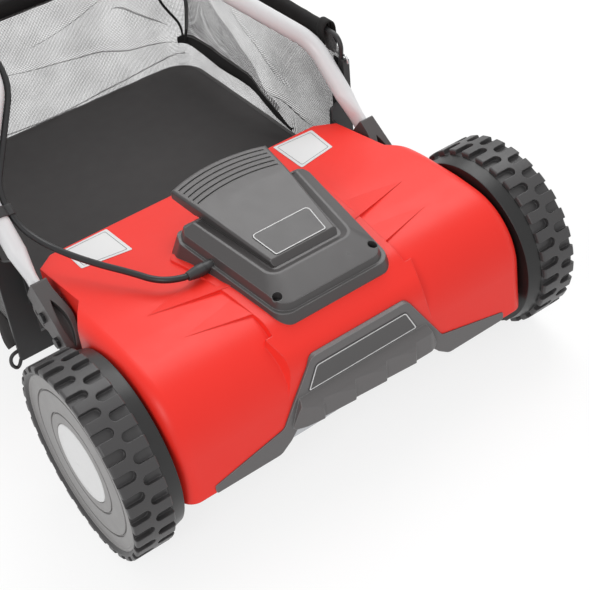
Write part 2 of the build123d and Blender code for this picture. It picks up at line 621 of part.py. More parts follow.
for side, turn in (("left", other_side), ("right", lambda s: s)):
    keep(side + "_wheel_disc", turn(disc))
    keep(side + "_tyre", turn(tyre))
    keep(side + "_hub_cap", turn(cap))

# Rear roller on an axle held by two brackets that swing for the cutting height
roller = sleeve_x(ROLLER_R, ROLLER_AXLE_R + RUN_FIT, -ROLLER_HALF, ROLLER_HALF, ROLLER_Y, ROLLER_R)
grooves = []
for x in (-88, 0, 88):
    grooves.append(sleeve_x(ROLLER_R + 1, ROLLER_R - 3, x - 2, x + 2, ROLLER_Y, ROLLER_R))
keep("rear_roller", roller - grooves)
keep("roller_axle", rod_x(ROLLER_AXLE_R, -189, 189, ROLLER_Y, ROLLER_R))
link = prism_x([(58, 52, 9), (62, 76, 9), (104, 70, 14), (160, 60, 9), (163, 14, 9), (137, 12, 9)], 184, 188)
link = link - rod_x(PIVOT_R + RUN_FIT, 180, 190, *BRACKET_PIVOT)
link = link - rod_x(ROLLER_AXLE_R, 180, 190, ROLLER_Y, ROLLER_R)
link = link + rod_x(STUD_R, 184, 206, *BRACKET_STUD)
keep("roller_brackets", *pair(link))
pivot = rod_x(PIVOT_R, 180.5, PLATE_X1 + 3, *BRACKET_PIVOT) + rod_x(8, 180.5, 183.6, *BRACKET_PIVOT)
pivot = pivot + sleeve_x(9, PIVOT_R - 1, 188.4, PLATE_X0, *BRACKET_PIVOT)
knob_star = Pos(0, *BRACKET_STUD) * Rot(0, 90, 0) * Cylinder(13, 10)
for i in range(6):
    notch = Pos(0, *BRACKET_STUD) * Rot(60 * i, 0, 0) * Pos(0, 0, 15.5) * Rot(0, 90, 0) * Cylinder(4.2, 20)
    knob_star = knob_star - notch
knob = Pos(205.5, 0, 0) * knob_star + rod_x(8, 198.3, 201, *BRACKET_STUD)
knob = knob - rod_x(STUD_R, 190, 206, *BRACKET_STUD)
keep("height_knobs", *pair(knob))

# Lower handle tubes: flattened foot in the arm, straight run, inward bend, straight run to the fold bolt
RUN_Y = cos(radians(LOWER_SLOPE))
RUN_Z = sin(radians(LOWER_SLOPE))


def on_slope(x, s, lift=0.0):
    """Point on the lower handle's plane; lift is measured square to it."""
    return (x, TUBE_FOOT[0] + s * RUN_Y - lift * RUN_Z, TUBE_FOOT[1] + s * RUN_Z + lift * RUN_Y)


FLAT_END = 14.0
FLAT_FADE = 44.0
lower_path = [on_slope(TUBE_X, FLAT_FADE), on_slope(TUBE_X, BEND_S1), on_slope(INNER_X, BEND_S2),
              on_slope(INNER_X, FOLD_S + 16)]
lower_tube = bent_tube(lower_path, [TUBE_BEND_1, TUBE_BEND_2], TUBE_R, TUBE_R - TUBE_WALL)


def foot_plane(s):
    return Plane(origin=on_slope(TUBE_X, s), x_dir=(1, 0, 0), z_dir=(0, RUN_Y, RUN_Z))


def foot_body(shrink):
    """Round tube pressed flat towards its lower end."""
    flat = foot_plane(FLAT_END) * Ellipse(6.0 - shrink, 14.0 - shrink)
    fade = loft([flat, foot_plane(FLAT_FADE) * Circle(TUBE_R - shrink)])
    end = extrude(flat, amount=-34)
    return fade + end


foot = foot_body(0.0)
lower_tube = lower_tube + (foot - foot_body(TUBE_WALL))
fold_y, fold_z = on_slope(0, FOLD_S)[1:]
lower_tube = lower_tube - rod_x(FOLD_BOLT_R, 130, 190, fold_y, fold_z)
keep("lower_tubes", *pair(lower_tube))

# Handle arms: black sockets bolted to the deck's side, with a lens-shaped slot and a D-loop
ARM_SLOPE = 36.0
ARM_TOP = (180.0, 190.0)
ARM_LENGTH = 84.0
arm_u = (0, -cos(radians(ARM_SLOPE)), -sin(radians(ARM_SLOPE)))
arm_v = (0, -sin(radians(ARM_SLOPE)), cos(radians(ARM_SLOPE)))


def on_arm(u, v):
    return (ARM_TOP[0] + u * arm_u[1] + v * arm_v[1], ARM_TOP[1] + u * arm_u[2] + v * arm_v[2])


def arm_side(points, x0, x1):
    """Outline in the arm's own (u, v) carried across X."""
    return prism_x([on_arm(p[0], p[1]) + tuple(p[2:]) for p in points], x0, x1)


arm_points = [(0, -17, 2), (0, 17, 2), (48, 18, 30), (ARM_LENGTH, 11, 9), (ARM_LENGTH, -16, 9), (40, -19, 30)]
arm = arm_side(arm_points, 206, 231)
arm_plane = Plane(origin=(0, *ARM_TOP), x_dir=arm_u, z_dir=arm_v)
arm_plan = outline([(-5, 212.5), (-5, 231, 2), (ARM_LENGTH + 5, 231, 2), (ARM_LENGTH + 5, 215), (46, 206.5, 40),
                    (14, 212.5, 40)])
arm = arm & extrude(arm_plane * arm_plan, amount=40, both=True)
lens = make_face([ThreePointArc((24, 221), (52, 225), (80, 221.5)),
                  ThreePointArc((80, 221.5), (52, 214), (24, 221))])
arm = arm - Pos(0, 6 * arm_v[1], 6 * arm_v[2]) * extrude(arm_plane * lens, amount=40)
d_loop = arm_side([(10, -14), (16, -27, 6), (36, -28, 8), (48, -16)], 222, 231)
d_loop = d_loop - arm_side([(17, -18.5, 1), (20, -23.5, 2), (34, -24.5, 3), (40, -19.5, 1)], 220, 240)
ARM_BOLTS = (on_arm(64, -5), on_arm(33, -5))
for y, z in ARM_BOLTS:
    arm = arm + rod_x(9.5, REAR_X, 214, y, z)
arm = arm + d_loop - foot
arm_bolts = []
for y, z in ARM_BOLTS:
    hole = rod_x(3.5, 195, 240, y, z)
    arm = arm - hole
    PIECES["deck_housing"] = PIECES["deck_housing"] - hole - other_side(hole)
    bolt = rod_x(3.5, REAR_X - WALL - 5, 231, y, z) + hex_x(11, 231, 235, y, z)
    arm_bolts += pair(bolt + hex_x(11, REAR_X - WALL - 4.5, REAR_X - WALL, y, z))
arm = arm - PIECES["deck_housing"]
keep("handle_arms", *pair(arm))
keep("deck_bolts", *bolts, *arm_bolts)

# Fold joint: bolt across both tubes, plastic washer between them, wing knob outside
fold_bolt = rod_x(FOLD_BOLT_R, INNER_X - TUBE_R - 3, 198, fold_y, fold_z)
fold_bolt = fold_bolt + rod_x(8, INNER_X - TUBE_R - 7, INNER_X - TUBE_R - 3, fold_y, fold_z)
keep("fold_bolts", *pair(fold_bolt))
cup = sleeve_x(13, FOLD_BOLT_R, INNER_X + 6, UPPER_X - TUBE_R - 0.4, fold_y, fold_z)
cup = cup - Plane(origin=on_slope(INNER_X, FOLD_S), z_dir=(0, RUN_Y, RUN_Z)) * Cylinder(TUBE_R, 80)
wing = rod_x(9, UPPER_X + TUBE_R + 0.6, 204, fold_y, fold_z)
wing_points = [(-26, -6, 5), (-26, 6, 5), (0, 9, 20), (26, 6, 5), (26, -6, 5), (0, -9, 20)]
wing = wing + prism_x([(fold_y + dy, fold_z + dz, r) for dy, dz, r in wing_points], 195, 204)
wing = wing - rod_x(FOLD_BOLT_R, 180, 198, fold_y, fold_z)
keep("fold_knobs", *pair(wing), *pair(cup))

# Upper handle: one bent tube with a foam grip
UP_Y = cos(radians(UPPER_SLOPE))
UP_Z = sin(radians(UPPER_SLOPE))


def on_upper(x, s, n=0.0):
    """Point along the upper handle from the fold bolt; n is square to it, upward."""
    return (x, fold_y + s * UP_Y - n * UP_Z, fold_z + s * UP_Z + n * UP_Y)


upper_path = [on_upper(-UPPER_X, -16), on_upper(-UPPER_X, UPPER_LENGTH), on_upper(UPPER_X, UPPER_LENGTH),
              on_upper(UPPER_X, -16)]
upper_tube = bent_tube(upper_path, [70, 70], TUBE_R, TUBE_R - TUBE_WALL)
upper_tube = upper_tube - rod_x(FOLD_BOLT_R + RUN_FIT, -250, 250, fold_y, fold_z)
keep("upper_tube", upper_tube)
bar_y, bar_z = on_upper(0, UPPER_LENGTH)[1:]
grip = sleeve_x(15.5, TUBE_R, -26, 100, bar_y, bar_z)
keep("foam_grip", grip)

# Switch box on the cross bar with lock button, sprung lever and two inlet pins
BOX_X0 = -98.0
BOX_X1 = -34.0
LEVER_S = UPPER_LENGTH - 50.0
LEVER_R = 4.0
LEVER_DROP = 36.0
box_plane = Plane(origin=on_upper(0, UPPER_LENGTH), x_dir=(1, 0, 0), z_dir=(0, -UP_Z, UP_Y))


def box_part(points, n0, n1):
    """Outline in (X, along the handle) carried square to the handle."""
    return extrude(box_plane.offset(n0) * outline(points), amount=n1 - n0)


box_plan = [(BOX_X0, -92, 8), (BOX_X1, -92, 8), (BOX_X1, 18, 10), (BOX_X0, 18, 10)]
box = box_part(box_plan, -20, 22)
box = fillet(box.faces().sort_by(Axis((0, 0, 0), (0, -UP_Z, UP_Y)))[-1].edges(), 4)
hollow_plan = [(BOX_X0 + 3, -66, 5), (BOX_X1 - 3, -66, 5), (BOX_X1 - 3, -16), (BOX_X0 + 3, -16)]
box = box - box_part(hollow_plan, -16, 18)
box = box - rod_x(TUBE_R, -200, 200, bar_y, bar_z)
lever_y, lever_z = on_upper(0, LEVER_S)[1:]
box = box - rod_x(LEVER_R + RUN_FIT, BOX_X1 - 5, BOX_X1 + 5, lever_y, lever_z)
BUTTON_AT = (-66.0, -40.0)
BUTTON_R = 7.0
button_axis = box_plane * Pos(BUTTON_AT[0], BUTTON_AT[1], 0)
box = box - button_axis * Pos(0, 0, 20) * Cylinder(BUTTON_R + 0.3, 20)
INLET_AT = (-66.0, -79.0)
INLET_FLOOR = 3.0
PIN_R = 2.4
PIN_LENGTH = 19.0
PIN_GAP = 19.0
socket = [(INLET_AT[0] + sx * 18, INLET_AT[1] + sy * 9, 4) for sx, sy in ((-1, -1), (1, -1), (1, 1), (-1, 1))]
box = box - box_part(socket, -21, INLET_FLOOR)
pins = []
for sx in (-0.5, 0.5):
    pin_mid = box_plane * Pos(INLET_AT[0] + sx * PIN_GAP, INLET_AT[1], INLET_FLOOR - PIN_LENGTH / 2)
    pins.append(pin_mid * Cylinder(PIN_R, PIN_LENGTH))
keep("inlet_pins", *pins)
LEAD_ENTRY = (-90.0, -92.0)
entry = box_plane * Pos(LEAD_ENTRY[0], LEAD_ENTRY[1] + 12, 0) * Rot(90, 0, 0) * Cylinder(LEAD_R, 30)
keep("switch_box", box - entry)
button = button_axis * Pos(0, 0, 20.5) * Cylinder(BUTTON_R, 11)
button = button + button_axis * Pos(0, 0, 13.9) * Cylinder(BUTTON_R + 3, 2.2)
keep("lock_button", button)
lever_path = [(BOX_X1 - 12, lever_y, lever_z), (BOX_X1 + 9, lever_y, lever_z),
              on_upper(BOX_X1 + 9, LEVER_S, -LEVER_DROP), on_upper(104, LEVER_S, -LEVER_DROP)]
lever = bent_tube(lever_path, [7, 7], LEVER_R)
lever = lever + Pos(*on_upper(104, LEVER_S, -LEVER_DROP)) * Sphere(6.5)
keep("switch_lever", lever)

# Lead: sags from the gland over the deck to the left tube, then clipped along the handle to the box
LEAD_OFF = TUBE_R + LEAD_R + 0.2
corner_shift = LEAD_OFF * tan(radians(degrees(atan2(TUBE_X - INNER_X, BEND_S2 - BEND_S1)) / 2))
lead_low = [(-76.0, *GLAND_AT), (-125.0, *GLAND_AT), (-167.0, 120.0, 212.5), (-187.0, 186.0, 213.0),
            on_slope(-TUBE_X + LEAD_OFF, 72), on_slope(-TUBE_X + LEAD_OFF, BEND_S1 - corner_shift),
            on_slope(-INNER_X + LEAD_OFF, BEND_S2 - corner_shift), on_slope(-INNER_X + LEAD_OFF, BRIDGE_S0)]
low_radii = [26, 60, 90, 30, TUBE_BEND_1 - LEAD_OFF, TUBE_BEND_2 + LEAD_OFF]
keep("lead_lower", bent_tube(lead_low, low_radii, LEAD_R))
BRIDGE_LIFT = 15.0
bridge_x = -INNER_X + LEAD_OFF
lead_mid = [on_slope(bridge_x, BRIDGE_S0), on_slope(bridge_x, BRIDGE_S0 + 12),
            on_slope(bridge_x + 1, FOLD_S - 10, BRIDGE_LIFT), on_upper(bridge_x - 1, 22, BRIDGE_LIFT),
            on_upper(-UPPER_X + LEAD_OFF, 110), on_upper(-UPPER_X + LEAD_OFF, BRIDGE_S1)]
keep("lead_bridge", bent_tube(lead_mid, [40, 40, 60, 60], LEAD_R))
lead_high = [on_upper(-UPPER_X + LEAD_OFF, BRIDGE_S1), on_upper(-UPPER_X + LEAD_OFF, UPPER_LENGTH - 210),
             on_upper(LEAD_ENTRY[0], UPPER_LENGTH - 150), on_upper(LEAD_ENTRY[0], UPPER_LENGTH - 80)]
keep("lead_upper", bent_tube(lead_high, [40, 40], LEAD_R))


def clip(plane, lead_side):
    """Small C-clip that holds the lead against a tube."""
    ring = Cylinder(TUBE_R + 1.8, 12) + Pos(lead_side, 0, 0) * Cylinder(LEAD_R + 1.8, 12)
    return plane * (ring - Cylinder(TUBE_R, 20) - Pos(lead_side, 0, 0) * Cylinder(LEAD_R, 20))


slope_dir = (0, RUN_Y, RUN_Z)
lower_clips = [clip(Plane(origin=on_slope(-TUBE_X, 89), x_dir=(1, 0, 0), z_dir=slope_dir), LEAD_OFF),
               clip(Plane(origin=on_slope(-INNER_X, 268), x_dir=(1, 0, 0), z_dir=slope_dir), LEAD_OFF)]
keep("lower_clips", *lower_clips)
upper_dir = (0, UP_Y, UP_Z)
upper_clips = []
for s in (190, 440):
    upper_clips.append(clip(Plane(origin=on_upper(-UPPER_X, s), x_dir=(1, 0, 0), z_dir=upper_dir), LEAD_OFF))
keep("upper_clips", *upper_clips)

# Catcher: stiff floor, black front frame with hooks, wire rim, mesh walls and binding
keep("catcher_floor", prism_z([(-FLOOR_X, CATCHER_Y0 + 4), (FLOOR_X, CATCHER_Y0 + 4), (FLOOR_X, CATCHER_Y1, 34),
                               (-FLOOR_X, CATCHER_Y1, 34)], FLOOR_Z - 3, FLOOR_Z))
strip = prism_y([(214, 58), (246, 58, 4), (246, 250, 3), (236.5, 250), (236.5, 200, 8), (214, 190, 4)],
                CATCHER_Y0, CATCHER_Y0 + 4)
frame = strip + other_side(strip) + block(-220, 220, CATCHER_Y0, CATCHER_Y0 + 4, 58, FLOOR_Z)
PULL_Y = cos(radians(PULL_SLOPE))
PULL_Z = sin(radians(PULL_SLOPE))
hook_y, hook_z = HOOK_PIN
hook = prism_x([(CATCHER_Y0, 128, 4), (CATCHER_Y0, 176), (hook_y + 4, 166, 12), (hook_y - 14, 158, 5),
                (hook_y - 14, 138, 3)], 214, 217.5)
hook_half = HOOK_PIN_R + 0.4
slot_run = 40.0
slot_fall = slot_run * PULL_Z / PULL_Y
slot_points = [(hook_y, hook_z + hook_half), (hook_y - slot_run, hook_z + hook_half - slot_fall),
               (hook_y - slot_run, hook_z - hook_half - slot_fall), (hook_y, hook_z - hook_half)]
hook = hook - prism_x(slot_points, 200, 240)
hook = hook - rod_x(hook_half, 200, 240, hook_y, hook_z)
keep("catcher_frame", frame + hook + other_side(hook))
hook_pin = rod_x(HOOK_PIN_R, REAR_X, 219, *HOOK_PIN) + rod_x(8, 219, 221, *HOOK_PIN)
keep("deck_pins", *pair(pivot), *pair(hook_pin))

wire_y = CATCHER_Y0 + 4 + WIRE_R
wire_path = [(-WIRE_FOOT_X, wire_y, 150), (-RIM_X, wire_y, RIM_Z), (-RIM_X, CATCHER_Y1 - 3, RIM_Z),
             (RIM_X, CATCHER_Y1 - 3, RIM_Z), (RIM_X, wire_y, RIM_Z), (WIRE_FOOT_X, wire_y, 150)]
keep("catcher_rim", bent_tube(wire_path, [16, 50, 50, 16], WIRE_R))


def bag_body(grow):
    """Tapered bag: floor outline up to the rim outline."""
    low = [(-FLOOR_X - grow, 150), (FLOOR_X + grow, 150), (FLOOR_X + grow, CATCHER_Y1 + grow, 34 + grow),
           (-FLOOR_X - grow, CATCHER_Y1 + grow, 34 + grow)]
    wide = RIM_X + WIRE_R + 0.6 + grow
    rear = CATCHER_Y1 + 0.6 + grow
    high = [(-wide, 150), (wide, 150), (wide, rear, 53 + grow), (-wide, rear, 53 + grow)]
    return loft([Pos(0, 0, FLOOR_Z - 3) * outline(low), Pos(0, 0, RIM_Z + 5) * outline(high)])


MESH_T = 1.4
BAND_T = 1.6
SIDE_SPLIT = 176.0
wall = bag_body(MESH_T) - bag_body(0.0)
wall = wall & block(-300, 300, CATCHER_Y0 + 4, 700, 0, 400)
keep("catcher_left_mesh", wall & block(-300, -SIDE_SPLIT, 0, 700, 0, 400))
keep("catcher_rear_mesh", wall & block(-SIDE_SPLIT, SIDE_SPLIT, 0, 700, 0, 400))
keep("catcher_right_mesh", wall & block(SIDE_SPLIT, 300, 0, 700, 0, 400))
binding = bag_body(MESH_T + BAND_T) - bag_body(MESH_T)
keep("catcher_binding", binding & block(-300, 300, CATCHER_Y0 + 4, 700, RIM_Z - 24, RIM_Z + 5))

# Move the machine so that its box is centred on the origin, then write the pieces
boxes = [piece.bounding_box() for piece in PIECES.values()]
mid_y = (min(b.min.Y for b in boxes) + max(b.max.Y for b in boxes)) / 2
print("pieces", len(PIECES), "moved along Y by", round(-mid_y, 4))
for name, piece in PIECES.items():
    export_step(Pos(0, -mid_y, 0) * piece, "parts/" + name + ".step")
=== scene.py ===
"""Electric reel mower with a mesh grass catcher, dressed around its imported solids."""
from math import cos, exp, pi, radians, sin

import bpy
from mathutils import Matrix, Vector, noise


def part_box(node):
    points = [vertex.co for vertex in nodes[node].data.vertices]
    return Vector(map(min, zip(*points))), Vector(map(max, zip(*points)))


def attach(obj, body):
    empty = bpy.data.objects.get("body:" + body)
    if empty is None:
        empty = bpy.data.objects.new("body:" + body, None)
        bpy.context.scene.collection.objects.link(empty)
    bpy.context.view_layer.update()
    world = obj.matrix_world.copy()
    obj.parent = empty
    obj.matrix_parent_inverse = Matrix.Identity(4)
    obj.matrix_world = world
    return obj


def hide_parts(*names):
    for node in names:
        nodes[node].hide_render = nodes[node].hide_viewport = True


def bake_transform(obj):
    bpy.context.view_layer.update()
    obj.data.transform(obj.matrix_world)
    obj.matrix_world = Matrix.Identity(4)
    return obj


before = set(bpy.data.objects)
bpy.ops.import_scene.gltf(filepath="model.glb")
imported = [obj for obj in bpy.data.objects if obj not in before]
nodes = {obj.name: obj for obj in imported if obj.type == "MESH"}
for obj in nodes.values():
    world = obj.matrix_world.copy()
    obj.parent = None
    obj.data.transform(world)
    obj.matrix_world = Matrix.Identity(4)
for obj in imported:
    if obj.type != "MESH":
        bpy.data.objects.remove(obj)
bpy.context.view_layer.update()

# View of the mower: the picture is taken from the left front, a little above, with a slight roll.
# Places are written in millimetres from the point on the ground under the middle of the wheel axle.
axle_low, axle_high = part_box("stub_axles")
AXLE_Y = (axle_low.y + axle_high.y) / 2


def at(x, y, z):
    """Millimetres from the ground under the axle, as a point of the frame in metres."""
    return Vector((x / 1000, y / 1000 + AXLE_Y, z / 1000))


CAMERA_AT = at(-576.3, -874.6, 1077.3)
CAMERA_AZIMUTH = radians(-32.759)
CAMERA_ELEVATION = radians(41.005)
CAMERA_ROLL = radians(-6.0)
back = Vector((sin(CAMERA_AZIMUTH) * cos(CAMERA_ELEVATION),
               -cos(CAMERA_AZIMUTH) * cos(CAMERA_ELEVATION), sin(CAMERA_ELEVATION)))
level = (-back).cross(Vector((0, 0, 1))).normalized()
upright = level.cross(-back)
right = level * cos(CAMERA_ROLL) + upright * sin(CAMERA_ROLL)
up = upright * cos(CAMERA_ROLL) - level * sin(CAMERA_ROLL)
camera = bpy.data.objects.new("camera", bpy.data.cameras.new("camera"))
camera.data.sensor_width = 36.0
camera.data.lens = 80.16
camera.data.clip_end = 60.0
camera.matrix_world = Matrix((
    (right.x, up.x, back.x, CAMERA_AT.x),
    (right.y, up.y, back.y, CAMERA_AT.y),
    (right.z, up.z, back.z, CAMERA_AT.z),
    (0, 0, 0, 1)))
scene = bpy.context.scene
scene.collection.objects.link(camera)
scene.camera = camera
scene.view_settings.view_transform = "Standard"


# Studio: a white sheet on the ground, an even white room and two large soft lamps.
# Room and ground show as white, and the ground keeps the mower's soft shadow.
def link(tree, source, target):
    """Joins an output socket to an input socket."""
    tree.links.new(source, target)


def add_node(tree, kind, values=()):
    """Shader node with some of its inputs set."""
    node = tree.nodes.new("ShaderNode" + kind)
    for label, value in dict(values).items():
        node.inputs[label].default_value = value
    return node


def new_piece(mesh, material=None):
    """Object in the scene, named as its mesh, with its finish."""
    piece = bpy.data.objects.new(mesh.name, mesh)
    scene.collection.objects.link(piece)
    if material:
        mesh.materials.append(material)
    return piece


def seen_directly(tree):
    """One for rays that reach the eye straight, by a mirror or through something clear, else nought."""
    ray = add_node(tree, "LightPath")
    total = ray.outputs["Is Camera Ray"]
    for kind in ("Is Glossy Ray", "Is Transmission Ray"):
        larger = add_node(tree, "Math")
        larger.operation = "MAXIMUM"
        link(tree, total, larger.inputs[0])
        link(tree, ray.outputs[kind], larger.inputs[1])
        total = larger.outputs[0]
    return total


ROOM_LIGHT = 0.60
WHITE = (1, 1, 1, 1)
room = bpy.data.worlds.new("white room")
scene.world = room
room.use_nodes = True
room_tree = room.node_tree
room_tree.nodes.clear()
lit = add_node(room_tree, "Background", {"Color": WHITE, "Strength": ROOM_LIGHT})
shown = add_node(room_tree, "Background", {"Color": WHITE, "Strength": 1.0})
choose = add_node(room_tree, "MixShader")
world_out = add_node(room_tree, "OutputWorld")
link(room_tree, seen_directly(room_tree), choose.inputs[0])
link(room_tree, lit.outputs[0], choose.inputs[1])
link(room_tree, shown.outputs[0], choose.inputs[2])
link(room_tree, choose.outputs[0], world_out.inputs["Surface"])

GROUND = 9.0
GROUND_NEAR, GROUND_FAR = 0.8, 2.8
GROUND_GLOW, GROUND_GLOW_FAR = 0.80, 0.90
GROUND_SHADE, GROUND_WHITE = 0.22, 0.92
GROUND_CORNERS = [(-GROUND, -GROUND, 0), (GROUND, -GROUND, 0), (GROUND, GROUND, 0), (-GROUND, GROUND, 0)]
sheet_mesh = bpy.data.meshes.new("white_ground")
sheet_mesh.from_pydata(GROUND_CORNERS, [], [(0, 1, 2, 3)])
ground_paper = bpy.data.materials.new("white paper")
ground_paper.use_nodes = True
paper_tree = ground_paper.node_tree
paper = paper_tree.nodes["Principled BSDF"]
paper.inputs["Base Color"].default_value = (GROUND_WHITE, GROUND_WHITE, GROUND_WHITE, 1)
paper.inputs["Roughness"].default_value = 1.0
paper.inputs["Specular IOR Level"].default_value = 0.0
shade = add_node(paper_tree, "BsdfDiffuse", {"Color": (GROUND_SHADE, GROUND_SHADE, GROUND_SHADE, 1)})
glow = add_node(paper_tree, "Emission")
spread = add_node(paper_tree, "VectorMath")
spread.operation = "LENGTH"
link(paper_tree, add_node(paper_tree, "TexCoord").outputs["Object"], spread.inputs[0])
fade = add_node(paper_tree, "MapRange", {
    "From Min": GROUND_NEAR, "From Max": GROUND_FAR, "To Min": GROUND_GLOW, "To Max": GROUND_GLOW_FAR})
link(paper_tree, spread.outputs["Value"], fade.inputs["Value"])
link(paper_tree, fade.outputs["Result"], glow.inputs["Strength"])
both = add_node(paper_tree, "AddShader")
pick = add_node(paper_tree, "MixShader")
link(paper_tree, shade.outputs[0], both.inputs[0])
link(paper_tree, glow.outputs[0], both.inputs[1])
link(paper_tree, seen_directly(paper_tree), pick.inputs[0])
link(paper_tree, paper.outputs[0], pick.inputs[1])
link(paper_tree, both.outputs[0], pick.inputs[2])
link(paper_tree, pick.outputs[0], paper_tree.nodes["Material Output"].inputs["Surface"])
new_piece(sheet_mesh, ground_paper)


def soft_lamp(name, where, towards, size, watts):
    lamp = bpy.data.lights.new(name, "AREA")
    lamp.shape = "RECTANGLE"
    lamp.size, lamp.size_y = size
    lamp.energy = watts
    holder = bpy.data.objects.new(name, lamp)
    holder.location = where
    holder.rotation_mode = "QUATERNION"
    holder.rotation_quaternion = (Vector(towards) - Vector(where)).to_track_quat("-Z", "Y")
    scene.collection.objects.link(holder)


soft_lamp("lamp behind on the right", (1.15, 0.8, 2.6), (0.0, -0.25, 0.1), (2.0, 2.0), 44)
soft_lamp("lamp at the left", (-1.7, -1.5, 1.5), (0.0, -0.3, 0.15), (0.8, 0.8), 14)


# Deck housing: the red moulded hood over reel and motor, one thin shell of coloured plastic.
# Its skin has a fine spark-eroded grain, slow drifts of tone and softened edges, and its edges are painted
# paler in patches, partly rubbed wear and partly a painted highlight.
def new_group(name, takes, gives):
    """Shader group with named sockets; each is a name, a kind of socket and, for inputs, a value."""
    group = bpy.data.node_groups.new(name, "ShaderNodeTree")
    for label, kind, value in takes:
        socket = group.interface.new_socket(label, in_out="INPUT", socket_type="NodeSocket" + kind)
        socket.default_value = value
    for label, kind in gives:
        group.interface.new_socket(label, in_out="OUTPUT", socket_type="NodeSocket" + kind)
    entry = group.nodes.new("NodeGroupInput")
    leave = group.nodes.new("NodeGroupOutput")
    return group, entry, leave


def math_node(tree, operation, a, b=None, clamp=False):
    """Math node; a and b are sockets or numbers."""
    node = add_node(tree, "Math")
    node.operation = operation
    node.use_clamp = clamp
    for slot, value in ((0, a), (1, b)):
        if value is None:
            continue
        if isinstance(value, (int, float)):
            node.inputs[slot].default_value = value
        else:
            link(tree, value, node.inputs[slot])
    return node.outputs[0]


def noise_node(tree, coordinates, size, detail=2.0):
    """Noise whose lumps are about size metres across; size may be a socket that holds a scale."""
    node = add_node(tree, "TexNoise", {"Detail": detail})
    if isinstance(size, (int, float)):
        node.inputs["Scale"].default_value = 1.0 / size
    else:
        link(tree, size, node.inputs["Scale"])
    link(tree, coordinates, node.inputs["Vector"])
    return node.outputs["Fac"]


def mix_colour(tree, share, a, b):
    """Mixed colour; share is a socket or a number, a and b are sockets or plain colours."""
    node = add_node(tree, "Mix")
    node.data_type = "RGBA"
    for slot, value in (("Factor_Float", share), ("A_Color", a), ("B_Color", b)):
        socket = next(s for s in node.inputs if s.identifier == slot)
        if isinstance(value, (int, float)):
            socket.default_value = value
        elif isinstance(value, tuple):
            socket.default_value = (*value, 1.0)
        else:
            link(tree, value, socket)
    return next(s for s in node.outputs if s.identifier == "Result_Color")


EDGE_SOFTNESS = 0.0016
DRIFT_SIZE, SMUDGE_SIZE = 0.12, 0.018
EDGE_GAIN, GLOSS_WANDER = 4.0, 0.14
GRAIN_HEIGHT = 0.0004
EDGE_WEAR_AND_HIGHLIGHT_WHITE = (0.85, 0.85, 0.85)
skin_group, skin_in, skin_out = new_group(
    "moulded skin",
    [("Colour", "Color", (0.5, 0.5, 0.5, 1)), ("Tone Drift", "Float", 0.06), ("Grain Scale", "Float", 1500.0),
     ("Grain Depth", "Float", 0.1), ("Roughness", "Float", 0.4), ("Edge Wear And Highlight", "Float", 0.25)],
    [("Colour", "Color"), ("Roughness", "Float"), ("Normal", "Vector")])
where = add_node(skin_group, "TexCoord").outputs["Object"]
drift = noise_node(skin_group, where, DRIFT_SIZE, 3.0)
grain = noise_node(skin_group, where, skin_in.outputs["Grain Scale"], 1.0)
smudge = noise_node(skin_group, where, SMUDGE_SIZE, 4.0)
bevel = add_node(skin_group, "Bevel", {"Radius": EDGE_SOFTNESS})
bevel.samples = 6
flat_normal = add_node(skin_group, "NewGeometry")
facing = add_node(skin_group, "VectorMath")
facing.operation = "DOT_PRODUCT"
link(skin_group, bevel.outputs["Normal"], facing.inputs[0])
link(skin_group, flat_normal.outputs["Normal"], facing.inputs[1])
# Paler edges: partly rubbed wear, partly a painted highlight where rounded edges would catch the lamps.
corner = math_node(skin_group, "SUBTRACT", 1.0, facing.outputs["Value"], clamp=True)
corner = math_node(skin_group, "MULTIPLY", corner, EDGE_GAIN, clamp=True)
patchy = math_node(skin_group, "MULTIPLY", corner, smudge)
worn_and_highlit = math_node(skin_group, "MULTIPLY", patchy, skin_in.outputs["Edge Wear And Highlight"], clamp=True)
swing = math_node(skin_group, "SUBTRACT", drift, 0.5)
swing = math_node(skin_group, "MULTIPLY", swing, skin_in.outputs["Tone Drift"])
lightness = math_node(skin_group, "ADD", swing, 1.0)
tone = add_node(skin_group, "VectorMath")
tone.operation = "SCALE"
link(skin_group, skin_in.outputs["Colour"], tone.inputs[0])
link(skin_group, lightness, tone.inputs["Scale"])
pale = mix_colour(skin_group, 0.5, skin_in.outputs["Colour"], EDGE_WEAR_AND_HIGHLIGHT_WHITE)
link(skin_group, mix_colour(skin_group, worn_and_highlit, tone.outputs["Vector"], pale), skin_out.inputs["Colour"])
wander = math_node(skin_group, "MULTIPLY", math_node(skin_group, "SUBTRACT", smudge, 0.5), GLOSS_WANDER)
link(skin_group, math_node(skin_group, "ADD", skin_in.outputs["Roughness"], wander, clamp=True),
     skin_out.inputs["Roughness"])
bump = add_node(skin_group, "Bump", {"Distance": GRAIN_HEIGHT})
link(skin_group, skin_in.outputs["Grain Depth"], bump.inputs["Strength"])
link(skin_group, grain, bump.inputs["Height"])
link(skin_group, bevel.outputs["Normal"], bump.inputs["Normal"])
link(skin_group, bump.outputs["Normal"], skin_out.inputs["Normal"])


def material_with(name, group, values):
    """New material with a shader group; gives the material, its tree, its shader and the group's node."""
    material = bpy.data.materials.new(name)
    material.use_nodes = True
    tree = material.node_tree
    placed = add_node(tree, "Group")
    placed.node_tree = group
    for label, value in values.items():
        placed.inputs[label].default_value = value
    return material, tree, tree.nodes["Principled BSDF"], placed


